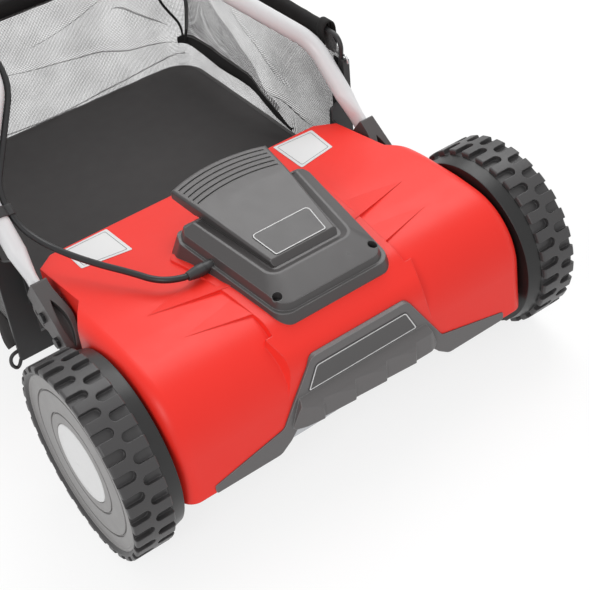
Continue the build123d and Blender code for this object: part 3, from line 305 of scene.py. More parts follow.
def moulded(name, colour, rough, grain_mm=0.7, grain_depth=0.06, drift=0.06, edge_wear_and_highlight=0.25, specular=0.5):
    """Moulded plastic or rubber with its own colour, gloss and grain."""
    material, tree, shader, skin = material_with(name, skin_group, {
        "Colour": (*colour, 1), "Tone Drift": drift, "Grain Scale": 1000.0 / grain_mm,
        "Grain Depth": grain_depth, "Roughness": rough, "Edge Wear And Highlight": edge_wear_and_highlight})
    link(tree, skin.outputs["Colour"], shader.inputs["Base Color"])
    link(tree, skin.outputs["Roughness"], shader.inputs["Roughness"])
    link(tree, skin.outputs["Normal"], shader.inputs["Normal"])
    shader.inputs["Specular IOR Level"].default_value = specular
    return material


def dress(material, *names):
    """Gives carried-over solids their finish."""
    for name in names:
        mesh = nodes[name].data
        mesh.materials.clear()
        mesh.materials.append(material)
        for face in mesh.polygons:
            face.material_index = 0


red_plastic = moulded("red plastic", (0.90, 0.031, 0.020), 0.38, grain_mm=0.6, grain_depth=0.04, drift=0.05,
                      edge_wear_and_highlight=0.10, specular=0.30)
dress(red_plastic, "deck_housing")

# Side plates, knife bar and brackets: black painted steel; bolts, bearings and axles are zinc plated.
# Blades and bed knife are ground steel with a bright edge.
metal_group, metal_in, metal_out = new_group(
    "drawn metal",
    [("Colour", "Color", (0.6, 0.6, 0.6, 1)), ("Roughness", "Float", 0.35), ("Tarnish", "Float", 0.2)],
    [("Colour", "Color"), ("Roughness", "Float"), ("Lines", "Float")])
TARNISH_SIZE, LINE_GLOSS, LINE_HEIGHT = 0.02, 0.25, 0.0002
TARNISHED = (0.16, 0.15, 0.14)
DRAWN_SCALE = (40.0, 1200.0, 1200.0)
spot = add_node(metal_group, "TexCoord").outputs["Object"]
pull = add_node(metal_group, "Mapping", {"Scale": DRAWN_SCALE})
link(metal_group, spot, pull.inputs["Vector"])
lines = noise_node(metal_group, pull.outputs["Vector"], 1.0, 2.0)
cloud = noise_node(metal_group, spot, TARNISH_SIZE, 4.0)
dull = math_node(metal_group, "MULTIPLY", cloud, metal_in.outputs["Tarnish"], clamp=True)
dark_metal = mix_colour(metal_group, 0.6, metal_in.outputs["Colour"], TARNISHED)
link(metal_group, mix_colour(metal_group, dull, metal_in.outputs["Colour"], dark_metal),
     metal_out.inputs["Colour"])
rough_lines = math_node(metal_group, "MULTIPLY", math_node(metal_group, "SUBTRACT", lines, 0.5), LINE_GLOSS)
link(metal_group, math_node(metal_group, "ADD", metal_in.outputs["Roughness"], rough_lines, clamp=True),
     metal_out.inputs["Roughness"])
link(metal_group, lines, metal_out.inputs["Lines"])


def drawn_metal(name, colour, rough, tarnish, line_depth=0.05):
    """Bare or plated metal with fine drawing lines along X."""
    material, tree, shader, metal = material_with(name, metal_group, {
        "Colour": (*colour, 1), "Roughness": rough, "Tarnish": tarnish})
    bump = add_node(tree, "Bump", {"Strength": line_depth, "Distance": LINE_HEIGHT})
    link(tree, metal.outputs["Lines"], bump.inputs["Height"])
    link(tree, metal.outputs["Colour"], shader.inputs["Base Color"])
    link(tree, metal.outputs["Roughness"], shader.inputs["Roughness"])
    link(tree, bump.outputs["Normal"], shader.inputs["Normal"])
    shader.inputs["Metallic"].default_value = 1.0
    return material


black_paint = moulded("black painted steel", (0.018, 0.018, 0.019), 0.42, grain_mm=1.6, grain_depth=0.08,
                      edge_wear_and_highlight=0.5)
zinc = drawn_metal("zinc plated steel", (0.62, 0.63, 0.64), 0.34, 0.35)
blade_steel = drawn_metal("ground blade steel", (0.52, 0.53, 0.55), 0.28, 0.3, line_depth=0.15)
dress(black_paint, "left_side_plate", "right_side_plate", "knife_bar", "roller_brackets", "reel_spiders")
dress(zinc, "plate_spacers", "deck_bolts", "shaft_bearings", "stub_axles", "axle_fasteners", "deck_pins",
      "knife_screws", "roller_axle", "reel_shaft", "fold_bolts")
dress(blade_steel, "reel_blades", "bed_knife")

# Motor, belt and chute: a zinc-plated can in a black tray, a ribbed black belt and a black guide plate.
# They sit under the covers and show only from below.
black_plastic = moulded("black plastic", (0.024, 0.024, 0.025), 0.45, grain_mm=0.8, grain_depth=0.1, edge_wear_and_highlight=0.2)
belt_rubber = moulded("belt rubber", (0.016, 0.016, 0.016), 0.7, grain_mm=0.5, grain_depth=0.2, edge_wear_and_highlight=0.0)
dress(zinc, "motor_housing", "motor_armature", "motor_pulley")
dress(belt_rubber, "drive_belt")
dress(black_plastic, "motor_tray", "motor_fan", "reel_pulley", "chute_plate")

# Front bumper: grey moulded bar across the front with stepped panels and thin wings.
# A bare plate with a fine white line round it sits in its upper part.
# Its edges are painted much paler: a painted highlight along ribs, wings and plate, with some rubbed wear.
bumper_plastic = moulded("bumper plastic", (0.120, 0.114, 0.114), 0.38, grain_mm=0.5, grain_depth=0.14,
                         drift=0.08, edge_wear_and_highlight=0.8, specular=0.45)
dress(bumper_plastic, "front_bumper")


def rounded_outline(corners, radius, steps=6):
    """Points round a polygon with its corners cut by arcs; radius is one number or one for each corner."""
    count = len(corners)
    radii = radius if isinstance(radius, (list, tuple)) else [radius] * count
    points = []
    for i, corner in enumerate(corners):
        here = Vector(corner)
        before = (Vector(corners[i - 1]) - here).normalized()
        after = (Vector(corners[(i + 1) % count]) - here).normalized()
        half = before.angle(after) / 2
        reach = radii[i] / (sin(half) / cos(half))
        centre = here + (before + after).normalized() * (radii[i] / sin(half))
        start = here + before * reach - centre
        end = here + after * reach - centre
        for k in range(steps + 1):
            way = start.lerp(end, k / steps).normalized() * radii[i]
            points.append(centre + way)
    return points


def spaced(points, step, like=None):
    """Closed outline with points added about every step, shared out as on another outline."""
    result = []
    count = len(points)
    like = like or points
    for i, here in enumerate(points):
        after = points[(i + 1) % count]
        parts = max(1, int((like[(i + 1) % count] - like[i]).length / step + 0.5))
        result += [here.lerp(after, k / parts) for k in range(parts)]
    return result


def moved_in(corners, amount):
    """Corners of a polygon moved inwards so that each side keeps its direction."""
    count = len(corners)
    moved = []
    for i, corner in enumerate(corners):
        here = Vector(corner)
        before = (Vector(corners[i - 1]) - here).normalized()
        after = (Vector(corners[(i + 1) % count]) - here).normalized()
        moved.append(here + (before + after).normalized() * (amount / sin(before.angle(after) / 2)))
    return moved


def laid_on(node, point, along, lift):
    """Point carried along a direction on to a solid's surface, and lifted off it, in metres."""
    hit, spot, normal, _ = nodes[node].ray_cast(point, along)
    if not hit:
        raise ValueError("nothing of " + node + " lies under " + str(point))
    if normal.dot(along) > 0:
        normal = -normal
    return spot + normal * lift


def band_mesh(name, outer, inner):
    """Closed band between two rings of as many points."""
    count = len(outer)
    faces = [(i, (i + 1) % count, count + (i + 1) % count, count + i) for i in range(count)]
    mesh = bpy.data.meshes.new(name)
    mesh.from_pydata([tuple(p) for p in outer + inner], [], faces)
    return mesh


def plate_mesh(name, rings):
    """Filled plate: rings of as many points from its edge inwards, closed in the middle."""
    count = len(rings[0])
    points = [tuple(p) for ring in rings for p in ring]
    faces = []
    for r in range(len(rings) - 1):
        for i in range(count):
            a, b = r * count + i, r * count + (i + 1) % count
            faces.append((a, b, b + count, a + count))
    last = (len(rings) - 1) * count
    faces.append(tuple(range(last, last + count)))
    mesh = bpy.data.meshes.new(name)
    mesh.from_pydata(points, [], faces)
    return mesh


def thicken(piece, depth):
    """Gives a sheet its thickness, half to either side."""
    layer = piece.modifiers.new("thickness", "SOLIDIFY")
    layer.thickness = depth
    layer.offset = 0.0


LINE_LIFT, PLATE_DEPTH = 0.0003, 0.0003
PLATE_RINGS, PLATE_STEP = (0.0, 4.0, 9.0), 3.0
LEAST_CORNER = 0.6
IN_FRONT = -140.0
plate_grey = moulded("dark plate", (0.066, 0.063, 0.063), 0.34, grain_mm=0.5, grain_depth=0.03, edge_wear_and_highlight=0.0)
white_print = moulded("white print", (0.86, 0.86, 0.86), 0.5, grain_mm=0.4, grain_depth=0.02, drift=0.03,
                      edge_wear_and_highlight=0.0)


def outlined_plate(name, node, corners, radius, to_frame, along, line, inset, face_material, body):
    """Bare plate with a fine line near its edge, both laid on a solid's surface."""
    edge = rounded_outline(corners, radius)

    def ring(shrink, lift):
        inner = rounded_outline(moved_in(corners, shrink), [max(r - shrink, LEAST_CORNER) for r in radius])
        return [laid_on(node, to_frame(p), along, lift) for p in spaced(inner, PLATE_STEP, edge)]

    plate = new_piece(plate_mesh(name, [ring(s, LINE_LIFT) for s in PLATE_RINGS]), face_material)
    rim = new_piece(band_mesh(name + "_line", ring(inset, 2 * LINE_LIFT), ring(inset + line, 2 * LINE_LIFT)),
                    white_print)
    for piece in (plate, rim):
        thicken(piece, PLATE_DEPTH)
        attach(piece, body)


outlined_plate("bumper_plate", "front_bumper", [(-72.5, 140.5), (72.5, 140.5), (58.5, 170), (-58.5, 170)],
               [2.5, 2.5, 6.5, 6.5], lambda p: at(p.x, IN_FRONT, p.y), Vector((0, 1, 0)),
               line=1.2, inset=1.2, face_material=plate_grey, body="deck")

# Motor cover and air hood: two grey mouldings over the motor, held by two black screws.
# The hood has five bowed louvres and a bare framed panel at its front.
ABOVE_ALL = 300.0
# Their edges are painted much paler: a painted highlight along the cover and hood edges, with some rubbed
# wear.
grey_plastic = moulded("grey plastic", (0.058, 0.054, 0.054), 0.31, grain_mm=0.5, grain_depth=0.12,
                       drift=0.08, edge_wear_and_highlight=0.8, specular=0.45)
dress(grey_plastic, "motor_cover", "motor_hood")
dress(black_plastic, "cover_screws", "lead_gland")
panel_grey = moulded("panel grey", (0.050, 0.047, 0.047), 0.38, grain_mm=0.9, grain_depth=0.3, edge_wear_and_highlight=0.0)
outlined_plate("hood_panel", "motor_hood", [(-32.5, -2.5), (32.5, -2.5), (37.5, 36.5), (-37.5, 36.5)],
               [3.5, 3.5, 5.5, 5.5], lambda p: at(p.x, p.y, ABOVE_ALL), Vector((0, 0, -1)),
               line=1.2, inset=0.6, face_material=panel_grey, body="deck")

# Labels: two bare white stickers on the deck behind the cover, pressed on to its curve.
# Each has a thin grey hairline near its edge.
LABEL_CORNER, LABEL_STEP = 2.0, 5.0
LABEL_RINGS, HAIRLINE_RINGS = (1.0, 0.8, 0.55, 0.3), (0.86, 0.84)
LABEL_LIFT, HAIRLINE_LIFT, LABEL_DEPTH = 0.00035, 0.0006, 0.0002
label_white = moulded("label film", (0.80, 0.80, 0.80), 0.32, grain_mm=3.0, grain_depth=0.05, drift=0.03,
                      edge_wear_and_highlight=0.0)
label_grey = moulded("label hairline", (0.30, 0.30, 0.31), 0.4, grain_mm=0.6, grain_depth=0.02, edge_wear_and_highlight=0.0)


def sticker(name, corners):
    """Bare film with a hairline, both laid on the deck."""
    edge = spaced(rounded_outline(corners, LABEL_CORNER), LABEL_STEP)
    middle = sum(edge, Vector((0, 0))) / len(edge)

    def ring(share, lift):
        moved = [middle + (p - middle) * share for p in edge]
        return [laid_on("deck_housing", at(p.x, p.y, ABOVE_ALL), Vector((0, 0, -1)), lift) for p in moved]

    film = new_piece(plate_mesh(name, [ring(s, LABEL_LIFT) for s in LABEL_RINGS]), label_white)
    hair = new_piece(band_mesh(name + "_hairline", *[ring(s, HAIRLINE_LIFT) for s in HAIRLINE_RINGS]),
                     label_grey)
    for piece in (film, hair):
        thicken(piece, LABEL_DEPTH)
        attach(piece, "deck")


sticker("right_label", [(174.5, 217), (163.8, 161), (110.5, 150.4), (119, 220.5)])
sticker("left_label", [(-112, 220.5), (-114, 156.8), (-172, 168.4), (-169, 220.5)])

# Wheels: dark grey moulded discs with a drum, slotted tyres of the same tone and pale silver hub caps.
# The tyres have softly rounded pads.
def dress_faces(material, name, chosen):
    """Second finish on those faces of a solid whose middle the test picks."""
    mesh = nodes[name].data
    mesh.materials.append(material)
    for face in mesh.polygons:
        if chosen(face.center):
            face.material_index = 1


wheel_plastic = moulded("wheel plastic", (0.22, 0.213, 0.21), 0.36, grain_mm=0.7, grain_depth=0.08,
                        edge_wear_and_highlight=0.10, specular=0.45)
drum_plastic = moulded("drum plastic", (0.015, 0.015, 0.015), 0.34, grain_mm=0.7, grain_depth=0.08,
                       edge_wear_and_highlight=0.10, specular=0.40)
tyre_rubber = moulded("tyre plastic", (0.050, 0.048, 0.049), 0.40, grain_mm=0.9, grain_depth=0.12, drift=0.1,
                      edge_wear_and_highlight=0.12, specular=0.45)
cap_silver = moulded("hub cap silver", (0.74, 0.74, 0.74), 0.36, grain_mm=0.5, grain_depth=0.03, edge_wear_and_highlight=0.0)
dress(wheel_plastic, "left_wheel_disc", "right_wheel_disc")
DRUM_END = 0.250
for name in ("left_wheel_disc", "right_wheel_disc"):
    dress_faces(drum_plastic, name, lambda middle: abs(middle.x) < DRUM_END)
dress(tyre_rubber, "left_tyre", "right_tyre")
dress(cap_silver, "left_hub_cap", "right_hub_cap")

# Rear roller and its star knobs: black plastic.
# The roller turns on a zinc axle between the height brackets.
dress(black_plastic, "rear_roller", "height_knobs")

# Handle: black sockets on the deck, silver tubes, folding knobs, and a box with a lever at the cross bar.
# The tubes are steel with a silver-white powder coat.
UPPER_HANDLE = "upper_handle"
silver_coat = moulded("silver powder coat", (0.75, 0.75, 0.76), 0.32, grain_mm=0.6, grain_depth=0.05,
                      drift=0.03, edge_wear_and_highlight=0.0, specular=0.6)
arm_plastic = moulded("arm plastic", (0.078, 0.072, 0.072), 0.42, grain_mm=0.6, grain_depth=0.12, edge_wear_and_highlight=0.12,
                      specular=0.4)
orange_plastic = moulded("orange plastic", (0.62, 0.08, 0.03), 0.4, grain_mm=0.6, grain_depth=0.05, edge_wear_and_highlight=0.1)
brass = drawn_metal("brass", (0.72, 0.52, 0.24), 0.25, 0.2)
dress(silver_coat, "lower_tubes", "upper_tube")
dress(arm_plastic, "handle_arms", "fold_knobs")
ARM_BOLTS_FROM = at(0, 120, 0).y
dress_faces(black_paint, "deck_bolts", lambda middle: middle.y > ARM_BOLTS_FROM)
dress(black_plastic, "switch_box", "lower_clips", "upper_clips")
dress(black_paint, "switch_lever")
dress(orange_plastic, "lock_button")
dress(brass, "inlet_pins")

# Foam grip: a crowned black sleeve pushed over the cross bar, drawn in a little at both ends.
# Its surface is closed-cell foam with small pores.
BAR_Y, BAR_Z = 927.2, 922.4
GRIP_X0, GRIP_X1 = -26.0, 100.0
GRIP_RADIUS, GRIP_BORE = 15.5, 11.4
GRIP_LIP, GRIP_ROUNDING, GRIP_DRAWN_IN, GRIP_CROWN = 1.5, 5.0, 2.6, 0.5
foam = moulded("foam", (0.020, 0.020, 0.021), 0.85, grain_mm=1.6, grain_depth=0.9, edge_wear_and_highlight=0.0)


def turned(name, profile, centre_y, centre_z, sides=48):
    """Closed ring round a line along X; profile gives x and radius in millimetres."""
    points, faces = [], []
    count = len(profile)
    for s in range(sides):
        turn = 2 * pi * s / sides
        points += [at(x, centre_y + r * cos(turn), centre_z + r * sin(turn)) for x, r in profile]
        ahead = (s + 1) % sides
        for i in range(count):
            after = (i + 1) % count
            faces.append((s * count + i, s * count + after, ahead * count + after, ahead * count + i))
    mesh = bpy.data.meshes.new(name)
    mesh.from_pydata([tuple(p) for p in points], [], faces)
    mesh.shade_smooth()
    return mesh


grip_profile = [(GRIP_X0 + GRIP_LIP, GRIP_BORE), (GRIP_X1 - GRIP_LIP, GRIP_BORE)]
GRIP_STEPS = 40
for i in range(GRIP_STEPS + 1):
    share = i / GRIP_STEPS
    from_end = min(share, 1 - share) * (GRIP_X1 - GRIP_X0)
    rounding = (1 - min(from_end / GRIP_ROUNDING, 1)) ** 2
    crown = GRIP_CROWN * sin(pi * share)
    grip_profile.append((GRIP_X1 + (GRIP_X0 - GRIP_X1) * share,
                         GRIP_RADIUS - GRIP_CROWN + crown - GRIP_DRAWN_IN * rounding))
grip = new_piece(turned("soft_grip", grip_profile, BAR_Y, BAR_Z), foam)
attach(grip, UPPER_HANDLE)
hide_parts("foam_grip")

# Lead: round black cable that sags from the gland over the deck and is clipped along the left tubes.
# At the fold its run between two clips is a separate stretch of tube; its sheath is smooth soft plastic.
LEAD_RADIUS = 0.0036
LEAD_SIDES = 14
SAG_ROUTE = [(-76, 51, 220), (-92, 51, 220), (-113, 51.2, 220.3), (-136, 64, 222), (-150, 93, 223),
             (-168, 131, 220.5), (-184, 174, 218), (-197, 207, 222), (-207.2, 232.34, 235.24),
             (-207.2, 263.54, 262.36), (-187, 285.4, 281.4), (-163, 311.3, 303.9), (-135.2, 341.27, 329.93),
             (-135.2, 377, 361), (-135.2, 386.30, 369.07)]
BRIDGE_ROUTE = [(-135.2, 386.30, 369.07), (-135.2, 395.36, 376.95), (-134.2, 409.67, 409.26),
                (-136.2, 431.55, 430.75), (-159.2, 503.47, 483.63), (-159.2, 552.09, 533.98)]
lead_sheath = moulded("lead sheath", (0.015, 0.015, 0.016), 0.34, grain_mm=0.8, grain_depth=0.05, edge_wear_and_highlight=0.0,
                      specular=0.4)
dress(lead_sheath, "lead_upper")


def nurbs_points(name, route, resolution=24):
    """Points along the smooth line that a route's corners steer; route in metres."""
    curve = bpy.data.curves.new(name, "CURVE")
    curve.dimensions = "3D"
    spline = curve.splines.new("NURBS")
    spline.points.add(len(route) - 1)
    for point, place in zip(spline.points, route):
        point.co = (*place, 1.0)
    spline.order_u = 3
    spline.use_endpoint_u = True
    spline.resolution_u = resolution
    holder = new_piece(curve)
    mesh = bpy.data.meshes.new_from_object(holder)
    points = [v.co.copy() for v in mesh.vertices]
    bpy.data.objects.remove(holder)
    bpy.data.meshes.remove(mesh)
    bpy.data.curves.remove(curve)
    return points


def tube_mesh(name, points, radius, sides):
    """Round tube along points, its rings carried on without twist, closed at both ends."""
    verts, faces = [], []
    along = (points[1] - points[0]).normalized()
    side = along.orthogonal().normalized()
    for i, point in enumerate(points):
        before, after = points[max(i - 1, 0)], points[min(i + 1, len(points) - 1)]
        along = (after - before).normalized()
        side = (side - along * side.dot(along)).normalized()
        other = along.cross(side)
        for s in range(sides):
            turn = 2 * pi * s / sides
            verts.append(point + side * (radius * cos(turn)) + other * (radius * sin(turn)))
    for i in range(len(points) - 1):
        for s in range(sides):
            a, b = i * sides + s, i * sides + (s + 1) % sides
            faces.append((a, b, b + sides, a + sides))
    faces.append(tuple(reversed(range(sides))))
    faces.append(tuple(range(len(verts) - sides, len(verts))))
    mesh = bpy.data.meshes.new(name)
    mesh.from_pydata([tuple(v) for v in verts], [], faces)
    mesh.shade_smooth()
    return mesh


def lead_run(name, route, node):
    """Stretch of the lead along a route, in place of its plain solid."""
    points = nurbs_points(name + "_route", [at(*p) for p in route])
    piece = new_piece(tube_mesh(name, points, LEAD_RADIUS, LEAD_SIDES), lead_sheath)
    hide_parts(node)
    return piece


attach(lead_run("lead_over_deck", SAG_ROUTE, "lead_lower"), "deck")
bridge = lead_run("lead_over_fold", BRIDGE_ROUTE, "lead_bridge")
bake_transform(bridge)

# Catcher floor, frame and wire: a charcoal sheet, black hook strips and a black lacquered wire hoop.
# The sheet has a fine canvas surface.
CATCHER = "catcher"
charcoal = moulded("charcoal sheet", (0.041, 0.038, 0.038), 0.62, grain_mm=1.2, grain_depth=0.25, drift=0.12,
                   edge_wear_and_highlight=0.0, specular=0.25)
dress(charcoal, "catcher_floor")
dress(black_plastic, "catcher_frame")
dress(black_paint, "catcher_rim")

# Catcher walls: one bag of open light grey mesh, sewn in three lengths, slack between floor and hoop.
# The cloth sags and has sharp overlapped creases; each length hangs from the hoop's binding.
WALL_LOW, WALL_HIGH = 81.6, 281.0
WALL_FRONT_Y = 233.0
REAR_HALF, CORNER_RUN, SIDE_RUN = 194.8, 69.4, 335.8
WALL_END = REAR_HALF + CORNER_RUN + SIDE_RUN
BAG_FOOT, BAG_RISE = 82, 200
HALF_WIDE, HALF_GAIN = 232.7, 12.6
REAR_Y, REAR_GAIN = 612.7, 0.6
CORNER_RADIUS, CORNER_GAIN = 34.7, 19.0
SLOPE_RUN, SLOPE_DROP = 560.0, 34.0
SEAM_RUN = 176.0
WALL_ROWS = 160
CREASES = [
    [(-40, 178), (14, 169), (58, 162), (104, 156), (145, 143), (188, 133), (230, 124)],
    [(4, 203), (47, 212), (105, 227), (140, 238)],
    [(132, 209), (148, 205), (184, 176), (212, 155)],
    [(340, 233), (401, 198), (456, 169), (496, 148)],
    [(426, 138), (482, 133), (545, 125)],
    [(480, 242), (515, 234), (548, 222)],
    [(-215, 140), (-150, 158), (-84, 163), (-52, 186)],
    [(-492, 162), (-440, 178), (-392, 205), (-345, 226)],
    [(-530, 131), (-470, 127), (-415, 140)]]
LAPPED = (0, 1, 2, 4, 6, 8)
CREASE_SPREAD, CREASE_DEPTH, CREASE_FADE = 5.0, 3.4, 26
SEWN_LOW, SEWN_HIGH, SEWN_FRONT = 24, 36, 24
WAVES = [(6.0, 95, 75, 3.1), (2.8, 38, 46, 9.7)]
HOLLOW = 2.0
TAPE_PULL, TAPE_PULL_SPREAD = 5.0, 16
TAPE_LINE = [(226, 130), (247, 134), (302, 135), (380, 135.5), (425, 128), (467, 108), (494, 99)]


def bag_place(run, z):
    """Point of the smooth bag and its outward direction; run goes along the wall from the rear middle."""
    rise = (z - BAG_FOOT) / BAG_RISE
    half = HALF_WIDE + HALF_GAIN * rise
    rear = REAR_Y + REAR_GAIN * rise
    radius = CORNER_RADIUS + CORNER_GAIN * rise
    side = 1 if run >= 0 else -1
    far = abs(run)
    if far <= REAR_HALF:
        place, out = (far / REAR_HALF * (half - radius), rear), (0, 1)
    elif far <= REAR_HALF + CORNER_RUN:
        turn = (far - REAR_HALF) / CORNER_RUN * pi / 2
        out = (sin(turn), cos(turn))
        place = (half - radius + radius * out[0], rear - radius + radius * out[1])
    else:
        share = (far - REAR_HALF - CORNER_RUN) / SIDE_RUN
        place, out = (half, rear - radius - share * (rear - radius - WALL_FRONT_Y)), (1, 0)
    return Vector((side * place[0], place[1], z)), Vector((side * out[0], out[1], 0))


def wall_top(run):
    """Height of the bag's upper edge, which falls to the frame strips at both front ends."""
    return WALL_HIGH - SLOPE_DROP * max(0, abs(run) - SLOPE_RUN) / (WALL_END - SLOPE_RUN)


def line_height(line, run):
    """Height of a line of points over a run, or None beyond its ends; lines go from low run to high run."""
    for (run_a, z_a), (run_b, z_b) in zip(line, line[1:]):
        if run_a <= run <= run_b:
            return z_a + (z_b - z_a) * (run - run_a) / (run_b - run_a)
    return None


def edge_fade(run, z):
    """Nought at the sewn edges of the bag and one inside them."""
    foot, top = min(1, (z - WALL_LOW) / SEWN_LOW), min(1, (WALL_HIGH - z) / SEWN_HIGH)
    return foot * top * min(1, (WALL_END - abs(run)) / SEWN_FRONT)


def ridges_at(run, z):
    """How far the creases press the cloth inwards at a point, steep below their line and slow above it."""
    push = 0.0
    for crease in CREASES:
        height = line_height(crease, run)
        if height is None:
            continue
        taper = min(1, (run - crease[0][0]) / CREASE_FADE) * min(1, (crease[-1][0] - run) / CREASE_FADE)
        away = (z - height) / (CREASE_SPREAD if z > height else CREASE_SPREAD / 3)
        push += CREASE_DEPTH * exp(-away * away) * taper
    return push


def slack(run, z):
    """How far the cloth stands out from the smooth bag, in millimetres."""
    wave = sum(height * noise.noise((run / long, z / high, layer)) for height, long, high, layer in WAVES)
    pulled = line_height(TAPE_LINE, abs(run))
    if pulled is not None:
        wave -= TAPE_PULL * exp(-((z - pulled) / TAPE_PULL_SPREAD) ** 2)
    return (wave - HOLLOW - ridges_at(run, z)) * edge_fade(run, z)


def cloth_grid(name, columns, rows, place, run_of, z_of):
    """Grid mesh with its flat sizes in metres as its map; place(i, j) gives each point."""
    mesh = bpy.data.meshes.new(name)
    points = [tuple(place(i, j)) for i in range(columns + 1) for j in range(rows + 1)]
    high = rows + 1
    faces = [(i * high + j, (i + 1) * high + j, (i + 1) * high + j + 1, i * high + j + 1)
             for i in range(columns) for j in range(rows)]
    mesh.from_pydata(points, [], faces)
    flat = mesh.uv_layers.new(name="flat")
    for loop in mesh.loops:
        i, j = divmod(loop.vertex_index, high)
        flat.data[loop.index].uv = (run_of(i) / 1000, z_of(j) / 1000)
    mesh.shade_smooth()
    return mesh


def wall(name, node, run_a, run_b, columns):
    """Length of the bag between two runs, in place of its plain solid."""
    def run_of(i):
        return run_a + (run_b - run_a) * i / columns

    def z_of(j):
        return WALL_LOW + (WALL_HIGH - WALL_LOW) * j / WALL_ROWS

    def place(i, j):
        run = run_of(i)
        z = WALL_LOW + (wall_top(run) - WALL_LOW) * j / WALL_ROWS
        point, out = bag_place(run, z)
        return at(*(point + out * slack(run, z)))

    piece = new_piece(cloth_grid(name, columns, WALL_ROWS, place, run_of, z_of), open_mesh)
    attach(piece, CATCHER)
    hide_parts(node)
    return piece


THREAD_PITCH, THREAD_HEIGHT = 0.0020, 0.0004
CLOUD_SIZE, CLOUD_SWING, CLOUD_BASE = 0.055, 0.55, 0.225
DOUBLED_AND_SHADED_FROM, DOUBLED_AND_SHADED_SHARE = 0.36, 0.45
WEAR_SIZE, WORN = 0.03, (0.34, 0.33, 0.33)
weave_group, weave_in, weave_out = new_group(
    "open weave",
    [("Thread Share", "Float", 0.33), ("Colour", "Color", (0.2, 0.2, 0.2, 1))],
    [("Colour", "Color"), ("Cover", "Float"), ("Height", "Float")])
flat_map = add_node(weave_group, "UVMap")
flat_map.uv_map = "flat"
apart = add_node(weave_group, "SeparateXYZ")
link(weave_group, flat_map.outputs["UV"], apart.inputs[0])
covers, ridges = [], []
# Thread cover drifts in soft clouds, a painted shade of the cloth's folds: where more is covered the mesh
# shows darker.
painted_fold_shade = noise_node(weave_group, flat_map.outputs["UV"], CLOUD_SIZE, 3.0)
half_share = math_node(weave_group, "MULTIPLY", painted_fold_shade, CLOUD_SWING)
half_share = math_node(weave_group, "ADD", half_share, CLOUD_BASE)
# Cover also grows towards the front ends of the side walls, partly cloth lying double there and partly
# painted shade near the deck.
near_front = add_node(weave_group, "MapRange", {
    "From Min": DOUBLED_AND_SHADED_FROM, "From Max": WALL_END / 1000, "To Max": DOUBLED_AND_SHADED_SHARE})
near_front.interpolation_type = "SMOOTHSTEP"
link(weave_group, math_node(weave_group, "ABSOLUTE", apart.outputs["X"]), near_front.inputs["Value"])
half_share = math_node(weave_group, "ADD", half_share, near_front.outputs["Result"])
for axis in ("X", "Y"):
    count = math_node(weave_group, "MULTIPLY", apart.outputs[axis], 1 / THREAD_PITCH)
    thread = math_node(weave_group, "FRACT", count)
    away = math_node(weave_group, "ABSOLUTE", math_node(weave_group, "SUBTRACT", thread, 0.5))
    reach = math_node(weave_group, "MULTIPLY", weave_in.outputs["Thread Share"], half_share)
    covers.append(math_node(weave_group, "LESS_THAN", away, reach))
    ridges.append(math_node(weave_group, "SUBTRACT", 0.5, away))
link(weave_group, math_node(weave_group, "MAXIMUM", *covers), weave_out.inputs["Cover"])
link(weave_group, math_node(weave_group, "MAXIMUM", *ridges), weave_out.inputs["Height"])
wear = noise_node(weave_group, flat_map.outputs["UV"], WEAR_SIZE, 3.0)
worn = mix_colour(weave_group, 0.5, weave_in.outputs["Colour"], WORN)
link(weave_group, mix_colour(weave_group, wear, weave_in.outputs["Colour"], worn), weave_out.inputs["Colour"])


def woven(name, colour, share, rough):
    """Cloth of round threads with open squares between them."""
    material, tree, shader, weave = material_with(name, weave_group, {
        "Thread Share": share, "Colour": (*colour, 1)})
    thread_bump = add_node(tree, "Bump", {"Strength": 0.4, "Distance": THREAD_HEIGHT})
    link(tree, weave.outputs["Height"], thread_bump.inputs["Height"])
    link(tree, weave.outputs["Colour"], shader.inputs["Base Color"])
    link(tree, weave.outputs["Cover"], shader.inputs["Alpha"])
    link(tree, thread_bump.outputs["Normal"], shader.inputs["Normal"])
    shader.inputs["Roughness"].default_value = rough
    shader.inputs["Specular IOR Level"].default_value = 0.25
    return material


open_mesh = woven("open mesh", (0.11, 0.108, 0.108), 0.29, 0.75)
folded_mesh = woven("folded mesh", (0.15, 0.147, 0.147), 0.24, 0.75)
left_wall = wall("bag_left", "catcher_left_mesh", -WALL_END, -SEAM_RUN, 96)
rear_wall = wall("bag_rear", "catcher_rear_mesh", -SEAM_RUN, SEAM_RUN, 80)
right_wall = wall("bag_right", "catcher_right_mesh", SEAM_RUN, WALL_END, 96)

# Tapes on the bag: black webbing inside the side walls and over the rear corners, a hem and lapped creases;
# the long band along each side wall is black webbing that widens into a painted shadow of the fold above it.
# They are sewn to the cloth and follow its sag.
sewn_on = {left_wall: [], rear_wall: [], right_wall: []}
TAPE_DEPTH, LAP_DEPTH = 0.0010, 0.0003
TAPE_MAP_STEP = 5.0
web_black = moulded("black webbing", (0.020, 0.019, 0.019), 0.8, grain_mm=1.0, grain_depth=0.8, edge_wear_and_highlight=0.0,
                    specular=0.2)


def along_line(line, count):
    """Evenly spread points on a smooth line through the given ones."""
    places = []
    last = len(line) - 1
    for i in range(count + 1):
        share = i / count * last
        k = min(int(share), last - 1)
        u = share - k
        p = [Vector(line[max(0, min(last, k + d))]) for d in (-1, 0, 1, 2)]
        places.append(0.5 * (2 * p[1] + (p[2] - p[0]) * u + (2 * p[0] - 5 * p[1] + 4 * p[2] - p[3]) * u * u
                             + (3 * p[1] - p[0] - 3 * p[2] + p[3]) * u ** 3))
    return places


def mirrored(line, side):
    """Line of points with its first numbers turned to the given side."""
    return [(side * first, *rest) for first, *rest in line]


